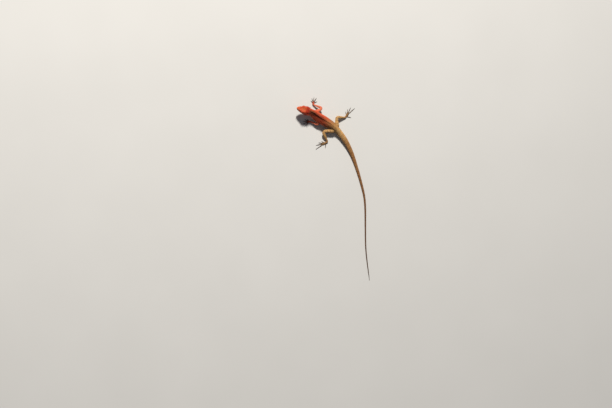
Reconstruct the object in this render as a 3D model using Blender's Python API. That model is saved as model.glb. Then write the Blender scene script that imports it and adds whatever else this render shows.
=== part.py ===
"""Life-size oriental garden lizard, an adult male in breeding colours, standing still on a flat floor.

Frame: +Z up, the torso's midline along Y with the head towards -Y, and the animal's left towards +X.
The origin is the middle of the model's box, at floor level.
Shapes are worked out in millimetres in a working frame whose Y axis runs under the torso and whose
zero is under the hips, and the last step moves the finished nodes so that the box sits on the origin.
A place along the animal is its distance from the snout tip, measured along the centreline.
"""

import math

import bmesh
import bpy
import numpy as np
from mathutils import Matrix, Vector

MM = 0.001
NODE_GAP = 0.3
FLOOR = 0.0

# Lengths along the centreline, from the snout tip
HEAD_END = 28.5
NECK_END = 39.0
HIP = 98.5
VENT = 104.0
TAIL_TIP = 439.0
TAIL_NODE_ENDS = (144.0, 196.0, 252.0, 311.0, 372.0, TAIL_TIP)

# Heading of the centreline, running tailwards: degrees towards the animal's left
HEADING = (
    (0, -18.5), (27, -18.5), (33.5, -13), (43, 1.5), (60, -3.5), (79, -3.5), (95, 2.5), (104, 11),
    (128, 21.5), (154, 30), (184, 37.5), (214, 40), (244, 43), (274, 53), (304, 57), (344, 56.5),
    (379, 52), (404, 49.5), (TAIL_TIP, 49),
)
# Height of the centreline over the floor: the head is held up, and the tail sinks to the floor
HEIGHT = (
    (0, 20.2), (27, 17.2), (33.5, 16.2), (41, 15.0), (52, 13.5), (65, 12.3), (78, 11.3), (91, 9.8),
    (99.5, 8.6), (110, 7.7), (124, 7.0), (142, 5.9), (164, 4.3), (186, 2.75),
)
# From here back the tail lies on the floor, with its axis this share of its radius above it
TAIL_LIES_FROM = 186.0
LYING_HEIGHT = 0.86

# Half width, height over the axis and depth under it, from the nape to the tail tip
HALF_WIDTH = (
    (24, 8.7), (28, 7.7), (33.5, 7.1), (39, 7.7), (45.5, 8.7), (54, 9.4), (67, 9.8), (80, 9.3),
    (91, 8.2), (99.5, 7.2), (106, 6.4), (114, 5.9), (126, 5.5), (142, 4.7), (164, 3.8), (186, 3.1),
    (216, 2.5), (256, 1.95), (306, 1.5), (366, 1.15), (416, 0.8), (TAIL_TIP, 0.35),
)
RISE = (
    (24, 10.9), (28, 10.5), (33.5, 9.7), (39, 9.5), (45.5, 9.8), (54, 10.3), (67, 10.7), (80, 10.2),
    (91, 9.0), (99.5, 7.8), (106, 6.8), (114, 6.1), (126, 5.7), (142, 4.8), (164, 3.8), (186, 3.1),
    (216, 2.5), (256, 1.95), (306, 1.5), (366, 1.15), (416, 0.8), (TAIL_TIP, 0.35),
)
DEPTH = (
    (24, 8.0), (28, 8.6), (33.5, 8.2), (39, 8.6), (45.5, 9.2), (54, 9.6), (67, 9.7), (80, 9.2),
    (91, 8.0), (99.5, 6.9), (106, 6.0), (114, 5.5), (126, 5.2), (142, 4.6), (164, 3.8), (186, 3.1),
    (216, 2.5), (256, 1.95), (306, 1.5), (366, 1.15), (416, 0.8), (TAIL_TIP, 0.35),
)
# Half outlines as shares of half width and height, from the back's ridge round to the belly
RIDGED_RING = (
    (0, 1), (0.30, 0.93), (0.61, 0.71), (0.87, 0.37), (1, 0), (0.95, -0.40), (0.76, -0.72),
    (0.42, -0.93), (0, -1),
)
ROUND_RING = tuple((math.sin(i * math.pi / 8), math.cos(i * math.pi / 8)) for i in range(9))
RIDGE_FADES = (104.0, 142.0)

# The head's profiles: heights are over the mouth line's level, widths from the midline
CROWN_HEIGHT = ((0, 4.2), (2, 5.0), (4, 5.9), (7, 7.2), (10, 8.8), (13.5, 10.2), (17, 10.9), (29, 10.7))
CROWN_EDGE_WIDTH = ((0, 1.2), (7, 2.2), (13.5, 3.1), (20, 3.8), (29, 3.6))
CROWN_EDGE_RISE = ((0, -0.1), (7, 0.0), (13, 0.45), (17, 0.25), (22, -0.4), (29, -0.8))
BROW_WIDTH = ((0, 2.0), (2, 2.7), (5, 3.6), (8, 4.6), (11, 5.9), (14, 6.6), (18, 6.5), (29, 6.3))
BROW_HEIGHT = (
    (0, 3.4), (2, 4.5), (5, 6.1), (8, 7.8), (11, 9.8), (14, 10.6), (18, 9.9), (23, 8.6), (29, 7.6),
)
SIDE_WIDTH = (
    (0, 2.4), (2, 3.2), (5, 4.2), (8, 4.9), (11, 5.4), (14, 6.1), (17, 7.1), (21, 8.6), (25, 8.9), (29, 7.6),
)
SIDE_HEIGHT = ((0, 2.0), (5, 3.2), (10, 5.0), (14, 6.0), (18, 5.8), (24, 4.7), (29, 4.0))
LIP_WIDTH = (
    (0, 2.5), (2, 3.4), (5, 4.8), (8, 5.9), (12, 7.1), (16, 8.1), (20, 9.3), (24, 9.7), (29, 8.3),
)
LIP_HEIGHT = ((0, 0.7), (8, 0.6), (14, 0.9), (19, 1.6), (29, 1.0))
MOUTH_HEIGHT = ((0, 0.0), (8, -0.35), (14, -0.1), (19, 0.5), (29, 0.0))
JAW_HEIGHT = ((0, -0.8), (5, -1.6), (10, -2.3), (17, -2.7), (24, -3.2), (29, -3.5))
THROAT_DEPTH = ((0, 2.2), (2, 2.7), (5, 3.7), (10, 4.9), (17, 6.3), (24, 8.0), (29, 8.6))
LOWER_SHARE_OF_WIDTH = 0.66
LOWER_SHARE_OF_DEPTH = 0.88
SNOUT_ROUNDING = 2.4
SNOUT_CENTRE_HEIGHT = 1.0
SNOUT_TIP_SHARE = 0.22
HEAD_TURNS_TO_NECK = (22.5, 28.0)
LANDMARKS = 9
MOUTH_AT = 5.0
MOUTH_CORNER = 19.5
LIP_GROOVE_DEPTH = 0.55

# Eyes, ears, nostrils and temple spines, as (side, distance from the snout, height) in the head's frame
EYE_PLACE = (4.75, 12.9, 6.1)
EYE_RADIUS = 3.1
SOCKET_RADIUS = EYE_RADIUS + NODE_GAP
LID_RADII = (3.95, 4.7, 4.1)
LID_OPENING_RADII = (3.6, 2.35, 1.6)
LID_OPENING_OUT = 3.2
EAR_PLACE = (8.75, 23.6, 4.0)
EAR_FACES = (0.96, 0.22, 0.17)
EAR_RADIUS = 1.75
EARDRUM_RADIUS = 1.4
EARDRUM_THICKNESS = 0.6
EAR_DEPTH = 1.1
NOSTRIL_PLACE = (3.3, 2.7, 3.6)
NOSTRIL_RADII = (0.9, 0.5, 0.42)
TEMPLE_SPINES = ((7.1, 19.6, 8.6), (7.4, 21.0, 8.1), (7.9, 22.5, 7.3), (7.3, 25.2, 7.3), (7.5, 26.4, 6.5))
TEMPLE_SPINE_LENGTH = 2.2
TEMPLE_SPINE_RADIUS = 0.55
TEMPLE_SPINE_LEANS = (0.62, 0.55, 0.56)

# The crest of the nape and back: height of its spines against distance from the snout
CREST_HEIGHT = ((27, 2.6), (31, 4.6), (37.5, 5.4), (46, 4.6), (58, 3.3), (73, 2.1), (88, 1.2), (95, 0.9))
CREST_STARTS = 29.8
CREST_ENDS = 94.0
CREST_STEP = 2.05
CREST_HALF_LENGTH = 0.95
CREST_HALF_THICKNESS = 0.45
CREST_LEAN = 0.62
CREST_SUNK = 1.3

# Legs: corners of each centreline, from inside the body to the end of the palm or sole
LEG_CORNERS = {
    "foreleg_right": ((-4.2, -56.0, 12.3), (-19.8, -47.2, 11.6), (-16.6, -67.6, 2.5), (-22.6, -69.3, 0.6)),
    "foreleg_left": ((6.8, -52.4, 12.4), (13.6, -31.2, 10.6), (17.2, -52.8, 2.5), (20.8, -57.8, 0.6)),
    "hindleg_right": ((-4.0, 0.4, 8.4), (-21.4, -11.2, 9.6), (-32.4, 5.8, 2.7), (-43.7, 7.5, 0.65)),
    "hindleg_left": ((4.6, -0.6, 8.4), (21.0, -20.6, 10.2), (31.8, 1.6, 2.7), (42.0, -4.4, 0.65)),
}
BEND_RADII = {"foreleg": (2.9, 2.0), "hindleg": (3.6, 2.2)}
# Half width and half height against the stage: 0 the root, 1 the elbow or knee, 2 the wrist or ankle, 3 the end
LEG_SIZES = {
    "foreleg": (
        (0, 2.4, 2.6), (0.08, 3.6, 3.8), (0.2, 3.9, 4.0), (0.4, 3.2, 3.4), (0.7, 2.5, 2.7),
        (1, 2.25, 2.35), (1.25, 2.4, 2.4),
        (1.6, 1.8, 1.8), (1.9, 1.45, 1.4), (2.1, 1.5, 1.25), (2.6, 2.3, 1.15), (3, 2.2, 0.95),
    ),
    "hindleg": (
        (0, 3.4, 3.2), (0.08, 4.8, 4.6), (0.2, 5.1, 5.0), (0.4, 4.3, 4.5), (0.7, 3.2, 3.4),
        (1, 2.7, 2.8), (1.25, 2.9, 2.9),
        (1.6, 2.2, 2.2), (1.88, 1.65, 1.6), (2.1, 1.7, 1.4), (2.5, 1.9, 1.25), (3, 2.5, 1.0),
    ),
}
LEG_NODE_STAGES = {"foreleg": (1.3, 1.9), "hindleg": (1.25, 1.88)}
LEG_NODE_NAMES = {
    "foreleg": ("upper_arm", "forearm", "hand"),
    "hindleg": ("thigh", "shank", "foot"),
}
LEG_SIDES = 12
LEG_STEP = 1.7

# Toes: place along and across the palm or sole from its end, splay from its axis towards the body's
# inner side, and length without the claw. The first is the innermost.
TOES = {
    "foreleg": ((-2.6, 1.5, 62, 4.2), (-1.0, 1.3, 33, 7.0), (-0.5, 0.3, 8, 9.2), (-0.7, -0.8, -17, 9.4), (-2.2, -1.4, -50, 6.6)),
    "hindleg": ((-4.2, 1.7, 56, 5.0), (-1.4, 1.6, 33, 8.6), (-0.6, 0.6, 14, 13.6), (-0.8, -0.6, -8, 18.0), (-7.2, -1.2, -60, 9.6)),
}
TOE_RADIUS = 0.92
TOE_TIP_RADIUS = 0.6
TOE_SIDES = 6
TOE_KNUCKLES = 3
CLAW_LENGTH = 2.0
CLAW_ARCH = 0.55

# Colours as linear RGB, with roughness
COLOURS = {
    "flame": ((0.72, 0.13, 0.035), 0.6),
    "ember": ((0.55, 0.09, 0.04), 0.6),
    "tan": ((0.36, 0.22, 0.10), 0.65),
    "tail": ((0.26, 0.16, 0.075), 0.65),
    "eye": ((0.10, 0.045, 0.015), 0.15),
    "eardrum": ((0.33, 0.10, 0.05), 0.5),
}


def through_rows(rows, at):
    """Values at the distances in at, on a curve that passes through the rows without overshooting them."""
    rows = np.array(rows, float)
    x, y = rows[:, 0], rows[:, 1:]
    step = np.diff(x)[:, None]
    slope = np.diff(y, axis=0) / step
    tangent = np.zeros_like(y)
    tangent[0], tangent[-1] = slope[0], slope[-1]
    before, after = slope[:-1], slope[1:]
    weight_a = 2 * step[1:] + step[:-1]
    weight_b = step[1:] + 2 * step[:-1]
    same_way = before * after > 0
    safe_before = np.where(same_way, before, 1.0)
    safe_after = np.where(same_way, after, 1.0)
    mean = (weight_a + weight_b) / (weight_a / safe_before + weight_b / safe_after)
    tangent[1:-1] = np.where(same_way, mean, 0.0)
    at = np.clip(np.atleast_1d(np.asarray(at, float)), x[0], x[-1])
    row = np.clip(np.searchsorted(x, at) - 1, 0, len(x) - 2)
    length = step[row]
    t = ((at - x[row])[:, None]) / length
    start_share = (1 + 2 * t) * (1 - t) ** 2
    end_share = t * t * (3 - 2 * t)
    start_slope = t * (1 - t) ** 2 * length
    end_slope = t * t * (t - 1) * length
    return start_share * y[row] + end_share * y[row + 1] + start_slope * tangent[row] + end_slope * tangent[row + 1]


def profile(rows, at):
    """One number from a two-column table, at one distance."""
    return float(through_rows(rows, at)[0, 0])


def fade(start, end, at):
    """0 before start, 1 after end, and a smooth step between them."""
    t = min(1.0, max(0.0, (at - start) / (end - start)))
    return t * t * (3 - 2 * t)


def axis_height(at):
    """Height of the centreline over the floor."""
    if at < TAIL_LIES_FROM:
        return profile(HEIGHT, at)
    return profile(DEPTH, at) * LYING_HEIGHT


def measure_centreline(step=0.5):
    """Distances from the snout and the centreline's points, with the hips at the working frame's zero."""
    places = np.arange(0.0, TAIL_TIP + step / 2, step)
    heading = np.radians(through_rows(HEADING, places)[:, 0])
    heights = np.array([axis_height(s) for s in places])
    slope = np.gradient(heights, step)
    level = np.sqrt(1 - slope**2)
    ahead = np.stack([np.sin(heading) * level, np.cos(heading) * level], axis=1)
    moves = (ahead[1:] + ahead[:-1]) / 2 * step
    flat = np.concatenate([[[0.0, 0.0]], np.cumsum(moves, axis=0)])
    at_hip = np.argmin(abs(places - HIP))
    flat -= flat[at_hip]
    return places, np.column_stack([flat, heights])


CENTRELINE_PLACES, CENTRELINE_POINTS = measure_centreline()


def spine_frame(at):
    """The centreline's point at a distance from the snout, and its directions: left, tailwards and up."""
    point = np.array([np.interp(at, CENTRELINE_PLACES, CENTRELINE_POINTS[:, i]) for i in range(3)])
    reach = 0.5
    low = np.array([np.interp(at - reach, CENTRELINE_PLACES, CENTRELINE_POINTS[:, i]) for i in range(3)])
    high = np.array([np.interp(at + reach, CENTRELINE_PLACES, CENTRELINE_POINTS[:, i]) for i in range(3)])
    tailwards = (high - low) / np.linalg.norm(high - low)
    left = np.array([tailwards[1], -tailwards[0], 0.0])
    left /= np.linalg.norm(left)
    return point, left, tailwards, np.cross(left, tailwards)


def head_landmarks(at):
    """Half outline of the head at a distance from the snout: crown, crown edge, brow, side, lip, mouth, jaw, lower jaw, throat."""
    crown = profile(CROWN_HEIGHT, at)
    lip_width = profile(LIP_WIDTH, at)
    throat = -profile(THROAT_DEPTH, at)
    ring = np.array([
        (0, crown),
        (profile(CROWN_EDGE_WIDTH, at), crown + profile(CROWN_EDGE_RISE, at)),
        (profile(BROW_WIDTH, at), profile(BROW_HEIGHT, at)),
        (profile(SIDE_WIDTH, at), profile(SIDE_HEIGHT, at)),
        (lip_width, profile(LIP_HEIGHT, at)),
        (lip_width, profile(MOUTH_HEIGHT, at)),
        (lip_width * 0.97, profile(JAW_HEIGHT, at)),
        (lip_width * LOWER_SHARE_OF_WIDTH, throat * LOWER_SHARE_OF_DEPTH),
        (0, throat),
    ])
    if at < SNOUT_ROUNDING:
        rounding = math.sqrt(1 - (1 - at / SNOUT_ROUNDING) ** 2)
        share = SNOUT_TIP_SHARE + (1 - SNOUT_TIP_SHARE) * rounding
        centre = np.array([0, SNOUT_CENTRE_HEIGHT])
        ring = centre + (ring - centre) * share
    return ring


def body_landmarks(at):
    """Half outline of the neck, torso or tail at a distance from the snout."""
    roundness = fade(*RIDGE_FADES, at)
    shares = np.array(RIDGED_RING) * (1 - roundness) + np.array(ROUND_RING) * roundness
    heights = np.where(shares[:, 1] > 0, profile(RISE, at), profile(DEPTH, at))
    return np.column_stack([shares[:, 0] * profile(HALF_WIDTH, at), shares[:, 1] * heights])


def landmarks(at):
    """The half outline at a distance from the snout, as (side, height) from the centreline."""
    neck_share = fade(*HEAD_TURNS_TO_NECK, at)
    if neck_share == 0:
        return head_landmarks(at)
    if neck_share == 1:
        return body_landmarks(at)
    return head_landmarks(at) * (1 - neck_share) + body_landmarks(at) * neck_share


def outline(at, stops, swell=0.0):
    """The closed outline at a distance from the snout, smooth through the landmarks.

    stops are places between the landmarks, 0 at the top and 8 underneath, and swell makes it larger all round.
    """
    half = landmarks(at)
    mirrored = half * np.array([-1, 1])
    loop = np.concatenate([mirrored[1:2], half, mirrored[-2:-1]])
    points = []
    for stop in stops:
        i = min(int(stop), LANDMARKS - 2)
        t = stop - i
        a, b, c, d = loop[i : i + 4]
        point = 0.5 * (
            2 * b + (c - a) * t + (2 * a - 5 * b + 4 * c - d) * t**2 + (3 * b - a - 3 * c + d) * t**3
        )
        if at < MOUTH_CORNER and stop == MOUTH_AT:
            point = point - np.array([LIP_GROOVE_DEPTH * min(1.0, at / SNOUT_ROUNDING), 0])
        points.append(point)
    left_half = np.array(points)
    right_half = left_half[-2:0:-1] * np.array([-1, 1])
    ring = np.concatenate([left_half, right_half])
    centre = np.array([0.0, ring[:, 1].mean()])
    outwards = ring - centre
    return ring + outwards / np.linalg.norm(outwards, axis=1)[:, None] * swell


def body_ring(at, stops, swell=0.0):
    """The outline at a distance from the snout as points in the working frame, none below the floor."""
    point, left, _, up = spine_frame(at)
    ring = np.array([point + left * x + up * z for x, z in outline(at, stops, swell)])
    ring[:, 2] = np.maximum(ring[:, 2], FLOOR)
    return ring


def mesh_object(name, points, faces, collection, material=None):
    """A mesh object from points in millimetres, with its faces turned outwards."""
    mesh = bpy.data.meshes.new(name)
    mesh.from_pydata([Vector(p) * MM for p in points], [], faces)
    work = bmesh.new()
    work.from_mesh(mesh)
    bmesh.ops.recalc_face_normals(work, faces=work.faces)
    work.to_mesh(mesh)
    work.free()
    obj = bpy.data.objects.new(name, mesh)
    collection.objects.link(obj)
    if material:
        mesh.materials.append(material)
    return obj


def loft(name, rings, collection, material=None, tip=None):
    """A closed solid through rings of like count, ending in a flat cap or in a point."""
    count = len(rings[0])
    points = [p for ring in rings for p in ring]
    faces = [tuple(range(count))]
    for level in range(len(rings) - 1):
        base = level * count
        for i in range(count):
            j = (i + 1) % count
            faces.append((base + i, base + j, base + count + j, base + count + i))
    last = (len(rings) - 1) * count
    if tip is None:
        faces.append(tuple(last + i for i in range(count)))
    else:
        points.append(tip)
        faces += [(last + i, last + (i + 1) % count, len(points) - 1) for i in range(count)]
    return mesh_object(name, points, faces, collection, material)


def body_length(name, start, end, step, stops, collection, material=None, swell=0.0):
    """One length of head, neck, torso or tail, cut square to the centreline at both ends."""
    count = max(2, round((end - start) / step) + 1)
    rings = [body_ring(at, stops, swell) for at in np.linspace(start, end, count)]
    return loft(name, rings, collection, material)


def shaped_copy(obj, cutter, operation):
    """Applies one Boolean, with either an object or a collection as the other side."""
    modifier = obj.modifiers.new(operation.lower(), "BOOLEAN")
    modifier.operation = operation
    modifier.solver = "EXACT"
    if isinstance(cutter, bpy.types.Collection):
        modifier.operand_type = "COLLECTION"
        modifier.collection = cutter
    else:
        modifier.object = cutter
    bpy.context.view_layer.update()
    graph = bpy.context.evaluated_depsgraph_get()
    mesh = bpy.data.meshes.new_from_object(obj.evaluated_get(graph))
    obj.modifiers.clear()
    old = obj.data
    obj.data = mesh
    bpy.data.meshes.remove(old)


def keep_largest(obj):
    """Removes all but the largest closed surface, which drops scraps and fills sealed hollows."""
    work = bmesh.new()
    work.from_mesh(obj.data)
    bmesh.ops.remove_doubles(work, verts=work.verts, dist=1e-6)
    unseen = set(work.verts)
    islands = []
    while unseen:
        front = [unseen.pop()]
        island = set(front)
        while front:
            for edge in front.pop().link_edges:
                for vert in edge.verts:
                    if vert in unseen:
                        unseen.remove(vert)
                        island.add(vert)
                        front.append(vert)
        islands.append(island)
    islands.sort(key=len)
    scraps = [vert for island in islands[:-1] for vert in island]
    bmesh.ops.delete(work, geom=scraps, context="VERTS")
    bmesh.ops.triangulate(work, faces=work.faces)
    work.to_mesh(obj.data)
    work.free()


def remove_all(collection):
    """Removes a collection with its objects and their meshes."""
    for obj in list(collection.objects):
        mesh = obj.data
        bpy.data.objects.remove(obj)
        bpy.data.meshes.remove(mesh)
    bpy.data.collections.remove(collection)


def helper_collection(name):
    """A collection for pieces that are joined to a node or cut from it."""
    collection = bpy.data.collections.new(name)
    bpy.context.scene.collection.children.link(collection)
    return collection


def join_and_cut(node, joined, cutters):
    """Joins one collection's pieces to a node, cuts another's from it, and removes both."""
    if joined.objects:
        shaped_copy(node, joined, "UNION")
    if cutters.objects:
        shaped_copy(node, cutters, "DIFFERENCE")
    remove_all(joined)
    remove_all(cutters)
    keep_largest(node)


def ellipsoid(name, centre, radii, axes, collection, segments=20, rings=12):
    """A closed ellipsoid, from a sphere stretched along three directions in the working frame."""
    mesh = bpy.data.meshes.new(name)
    work = bmesh.new()
    bmesh.ops.create_uvsphere(work, u_segments=segments, v_segments=rings, radius=1.0)
    stretch = Matrix([list(axis * radius) for axis, radius in zip(axes, radii)]).transposed().to_4x4()
    place = Matrix.Translation(Vector(centre)) @ stretch
    bmesh.ops.transform(work, matrix=Matrix.Scale(MM, 4) @ place, verts=work.verts)
    bmesh.ops.recalc_face_normals(work, faces=work.faces)
    work.to_mesh(mesh)
    work.free()
    obj = bpy.data.objects.new(name, mesh)
    collection.objects.link(obj)
    return obj


def disc(name, centre, normal, radius, thickness, collection, sides=20, top_radius=None):
    """A disc, rod or cone whose axis runs along normal from its centre."""
    mesh = bpy.data.meshes.new(name)
    work = bmesh.new()
    bmesh.ops.create_cone(
        work,
        cap_ends=True,
        segments=sides,
        radius1=radius,
        radius2=radius if top_radius is None else top_radius,
        depth=thickness,
    )
    turn = Vector(normal).to_track_quat("Z", "Y").to_matrix().to_4x4()
    place = Matrix.Translation(Vector(centre)) @ turn
    bmesh.ops.transform(work, matrix=Matrix.Scale(MM, 4) @ place, verts=work.verts)
    work.to_mesh(mesh)
    work.free()
    obj = bpy.data.objects.new(name, mesh)
    collection.objects.link(obj)
    return obj


def in_head(side, at, height, mirror=1):
    """A point of the head's frame in the working frame, on the left, or on the right with mirror at -1."""
    point, left, tailwards, up = spine_frame(1.0)
    start = point - tailwards
    return start + left * side * mirror + tailwards * at + up * height


def head_direction(direction, mirror=1):
    """A direction of the head's frame in the working frame."""
    _, left, tailwards, up = spine_frame(1.0)
    turned = left * direction[0] * mirror + tailwards * direction[1] + up * direction[2]
    return turned / np.linalg.norm(turned)


def crest_spine(at, collection):
    """One flat, pointed spine of the crest, leaning back, with its root sunk in the back."""
    point, left, tailwards, up = spine_frame(at)
    crown = point + up * landmarks(at)[0, 1]
    height = profile(CREST_HEIGHT, at)
    thin = CREST_HALF_THICKNESS * (0.7 + 0.3 * min(1.0, height / 3))
    levels = ((-CREST_SUNK, 0.9, 1.0), (height * 0.5, 0.82, 0.8))
    rings = []
    for rise, length_share, thickness_share in levels:
        centre = crown + up * rise + tailwards * CREST_LEAN * max(0.0, rise)
        along = tailwards * CREST_HALF_LENGTH * length_share
        across = left * thin * thickness_share
        rings.append([centre - along, centre - across, centre + along, centre + across])
    tip = crown + up * height * 0.93 + tailwards * height * (CREST_LEAN + 0.22)
    return loft("spine", rings, collection, tip=tip)


def add_crest(node, start, end):
    """Joins the crest's spines between two places to a node."""
    spines = helper_collection("crest")
    roots = np.arange(CREST_STARTS, CREST_ENDS, CREST_STEP)
    for at in roots[(roots > start + CREST_HALF_LENGTH) & (roots < end - CREST_HALF_LENGTH)]:
        crest_spine(at, spines)
    join_and_cut(node, spines, helper_collection("none"))


def make_head(nodes, materials):
    """Head with lids, lips, nostrils, ear hollows and temple spines, the eyes and the eardrums."""
    front = [0, 0.3, 0.8, 1.5, SNOUT_ROUNDING]
    rest = np.linspace(SNOUT_ROUNDING, HEAD_END - NODE_GAP / 2, 25)[1:]
    stops = [0, 0.5, 1, 1.4, 1.75, 2, 2.3, 2.65, 3, 3.35, 3.7, 4, 4.4, 4.8, 5, 5.2, 5.6, 6, 6.5, 7, 7.5, 8]
    rings = [body_ring(at, stops) for at in [*front, *rest]]
    head = loft("head", rings, nodes, materials["flame"])
    joined, cutters = helper_collection("head_joined"), helper_collection("head_cutters")
    for name, mirror in (("left", 1), ("right", -1)):
        axes = [head_direction(axis, mirror) for axis in ((1, 0, 0), (0, 1, 0), (0, 0, 1))]
        eye = in_head(*EYE_PLACE, mirror)
        ellipsoid("lid", eye, LID_RADII, axes, joined)
        ellipsoid("socket", eye, (SOCKET_RADIUS,) * 3, axes, cutters)
        ellipsoid("opening", eye + axes[0] * LID_OPENING_OUT, LID_OPENING_RADII, axes, cutters)
        ball = ellipsoid(f"eye_{name}", eye, (EYE_RADIUS,) * 3, axes, nodes, 20, 12)
        ball.data.materials.append(materials["eye"])
        ellipsoid("nostril", in_head(*NOSTRIL_PLACE, mirror), NOSTRIL_RADII, axes, cutters, 10, 6)
        ear, faces = in_head(*EAR_PLACE, mirror), head_direction(EAR_FACES, mirror)
        disc("ear", ear, faces, EAR_RADIUS, 2 * EAR_DEPTH, cutters)
        drum_centre = ear - faces * (EAR_DEPTH - NODE_GAP - EARDRUM_THICKNESS / 2)
        drum = disc(f"eardrum_{name}", drum_centre, faces, EARDRUM_RADIUS, EARDRUM_THICKNESS, nodes)
        drum.data.materials.append(materials["eardrum"])
        leans = head_direction(TEMPLE_SPINE_LEANS, mirror)
        for place in TEMPLE_SPINES:
            middle = in_head(*place, mirror) + leans * TEMPLE_SPINE_LENGTH * 0.2
            disc("spine", middle, leans, TEMPLE_SPINE_RADIUS, TEMPLE_SPINE_LENGTH, joined, 5, 0.06)
    join_and_cut(head, joined, cutters)


def bent_path(corners, bend_radii, step=0.25):
    """A path through corners whose inner corners are rounded by arcs, and the stage of each of its points.

    A stage counts corners: 0 at the start, 1 in the middle of the first bend, and so on.
    """
    corners = [np.array(c, float) for c in corners]
    stretches, entry = [], corners[0]
    for i, radius in enumerate(bend_radii, start=1):
        into = corners[i] - corners[i - 1]
        away = corners[i + 1] - corners[i]
        into, away = into / np.linalg.norm(into), away / np.linalg.norm(away)
        turn = math.acos(float(np.clip(into @ away, -1, 1)))
        reach = radius * math.tan(turn / 2)
        start = corners[i] - into * reach
        inwards = away - into * math.cos(turn)
        inwards /= np.linalg.norm(inwards)
        angles = np.linspace(0, turn, max(3, int(radius * turn / step)))
        arc = [start + into * radius * math.sin(a) + inwards * radius * (1 - math.cos(a)) for a in angles]
        middle = len(arc) // 2
        stretches.append([entry, *arc[: middle + 1]])
        entry, rest = arc[middle], arc[middle + 1 :]
        stretches.append(rest)
    # Each bend's second half starts the stretch that follows it
    joined = [stretches[0]]
    for i in range(1, len(bend_radii)):
        joined.append([stretches[2 * i - 2][-1], *stretches[2 * i - 1], *stretches[2 * i][1:]])
    joined.append([stretches[-2][-1], *stretches[-1], corners[-1]])
    points, stages = [], []
    for number, stretch in enumerate(joined):
        stretch = np.array(stretch)
        along = np.concatenate([[0], np.cumsum(np.linalg.norm(np.diff(stretch, axis=0), axis=1))])
        even = np.linspace(0, along[-1], max(3, int(along[-1] / step)))
        places = np.stack([np.interp(even, along, stretch[:, k]) for k in range(3)], axis=1)
        points += list(places[: -1 if number < len(joined) - 1 else None])
        stages += list((number + even / along[-1])[: -1 if number < len(joined) - 1 else None])
    return np.array(points), np.array(stages)


def level_frame(ahead):
    """Directions across and up for a tube that runs ahead."""
    ahead = ahead / np.linalg.norm(ahead)
    across = np.cross(ahead, (0, 0, 1))
    across /= np.linalg.norm(across)
    return across, np.cross(across, ahead)


def oval_ring(centre, across, up, half_width, half_height, sides):
    """An oval of points with a flat step underneath, none below the floor."""
    angles = (np.arange(sides) + 0.5) * 2 * math.pi / sides - math.pi / 2
    ring = [centre + across * half_width * math.cos(a) + up * half_height * math.sin(a) for a in angles]
    ring = np.array(ring)
    ring[:, 2] = np.maximum(ring[:, 2], FLOOR)
    return ring


def leg_tube(name, leg, start_stage, end_stage, nodes, material):
    """One length of a leg between two stages, cut square to its centreline."""
    kind = leg.split("_")[0]
    points, stages = bent_path(LEG_CORNERS[leg], BEND_RADII[kind])
    along = np.concatenate([[0], np.cumsum(np.linalg.norm(np.diff(points, axis=0), axis=1))])
    start, end = np.interp((start_stage, end_stage), stages, along)
    start += NODE_GAP / 2 if start_stage > 0 else 0
    end -= NODE_GAP / 2 if end_stage < 3 else 0
    rings = []
    for place in np.linspace(start, end, max(3, round((end - start) / LEG_STEP) + 1)):
        centre = np.array([np.interp(place, along, points[:, k]) for k in range(3)])
        behind = np.array([np.interp(place - 0.4, along, points[:, k]) for k in range(3)])
        before = np.array([np.interp(place + 0.4, along, points[:, k]) for k in range(3)])
        across, up = level_frame(before - behind)
        half_width, half_height = through_rows(LEG_SIZES[kind], np.interp(place, along, stages))[0]
        rings.append(oval_ring(centre, across, up, half_width, half_height, LEG_SIDES))
    return loft(name, rings, nodes, material)


def toe(root, heading, length, collection):
    """One toe lying on the floor with raised knuckles, ending in a claw that curves down to the floor."""
    ahead = np.array([math.cos(heading), math.sin(heading), 0.0])
    across, up = level_frame(ahead)
    rings = []
    for share in np.linspace(0, 1, 2 * TOE_KNUCKLES + 1):
        radius = TOE_RADIUS + (TOE_TIP_RADIUS - TOE_RADIUS) * share
        radius *= 1.0 + 0.10 * math.cos(2 * math.pi * TOE_KNUCKLES * share)
        height = max(radius * LYING_HEIGHT, root[2] * (1 - share / 0.3))
        centre = np.array([*(root + ahead * length * share)[:2], height])
        rings.append(oval_ring(centre, across, up, radius, radius, TOE_SIDES))
    for share, radius in ((0.12, 0.42), (0.5, 0.3)):
        height = TOE_TIP_RADIUS + CLAW_ARCH * math.sin(math.pi * share) * (1 - share) + 0.05
        centre = np.array([*(root + ahead * (length + CLAW_LENGTH * share))[:2], height])
        rings.append(oval_ring(centre, across, up, radius * 0.7, radius, TOE_SIDES))
    tip = np.array([*(root + ahead * (length + CLAW_LENGTH))[:2], 0.12])
    return loft("toe", rings, collection, tip=tip)


def add_toes(node, leg):
    """Joins the five toes to a palm or sole, splayed from its axis."""
    kind, side = leg.split("_")
    corners = LEG_CORNERS[leg]
    end = np.array(corners[-1], float)
    ahead = end - np.array(corners[-2], float)
    ahead[2] = 0
    ahead /= np.linalg.norm(ahead)
    turn = -1 if side == "left" else 1
    inner = np.array([-ahead[1], ahead[0], 0.0]) * turn
    toes = helper_collection("toes")
    for along, across, splay, length in TOES[kind]:
        root = end + ahead * along + inner * across
        heading = math.atan2(ahead[1], ahead[0]) + math.radians(splay) * turn
        toe(root, heading, length, toes)
    join_and_cut(node, toes, helper_collection("none"))


def make_leg(leg, body, nodes, material):
    """The three nodes of one leg: the first is cut clear of the body, and the last carries the toes."""
    kind, side = leg.split("_")
    splits = (0, *LEG_NODE_STAGES[kind], 3)
    for i, part in enumerate(LEG_NODE_NAMES[kind]):
        node = leg_tube(f"{part}_{side}", leg, splits[i], splits[i + 1], nodes, material)
        if i == 0:
            shaped_copy(node, body, "DIFFERENCE")
            keep_largest(node)
        if i == 2:
            add_toes(node, leg)


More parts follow.
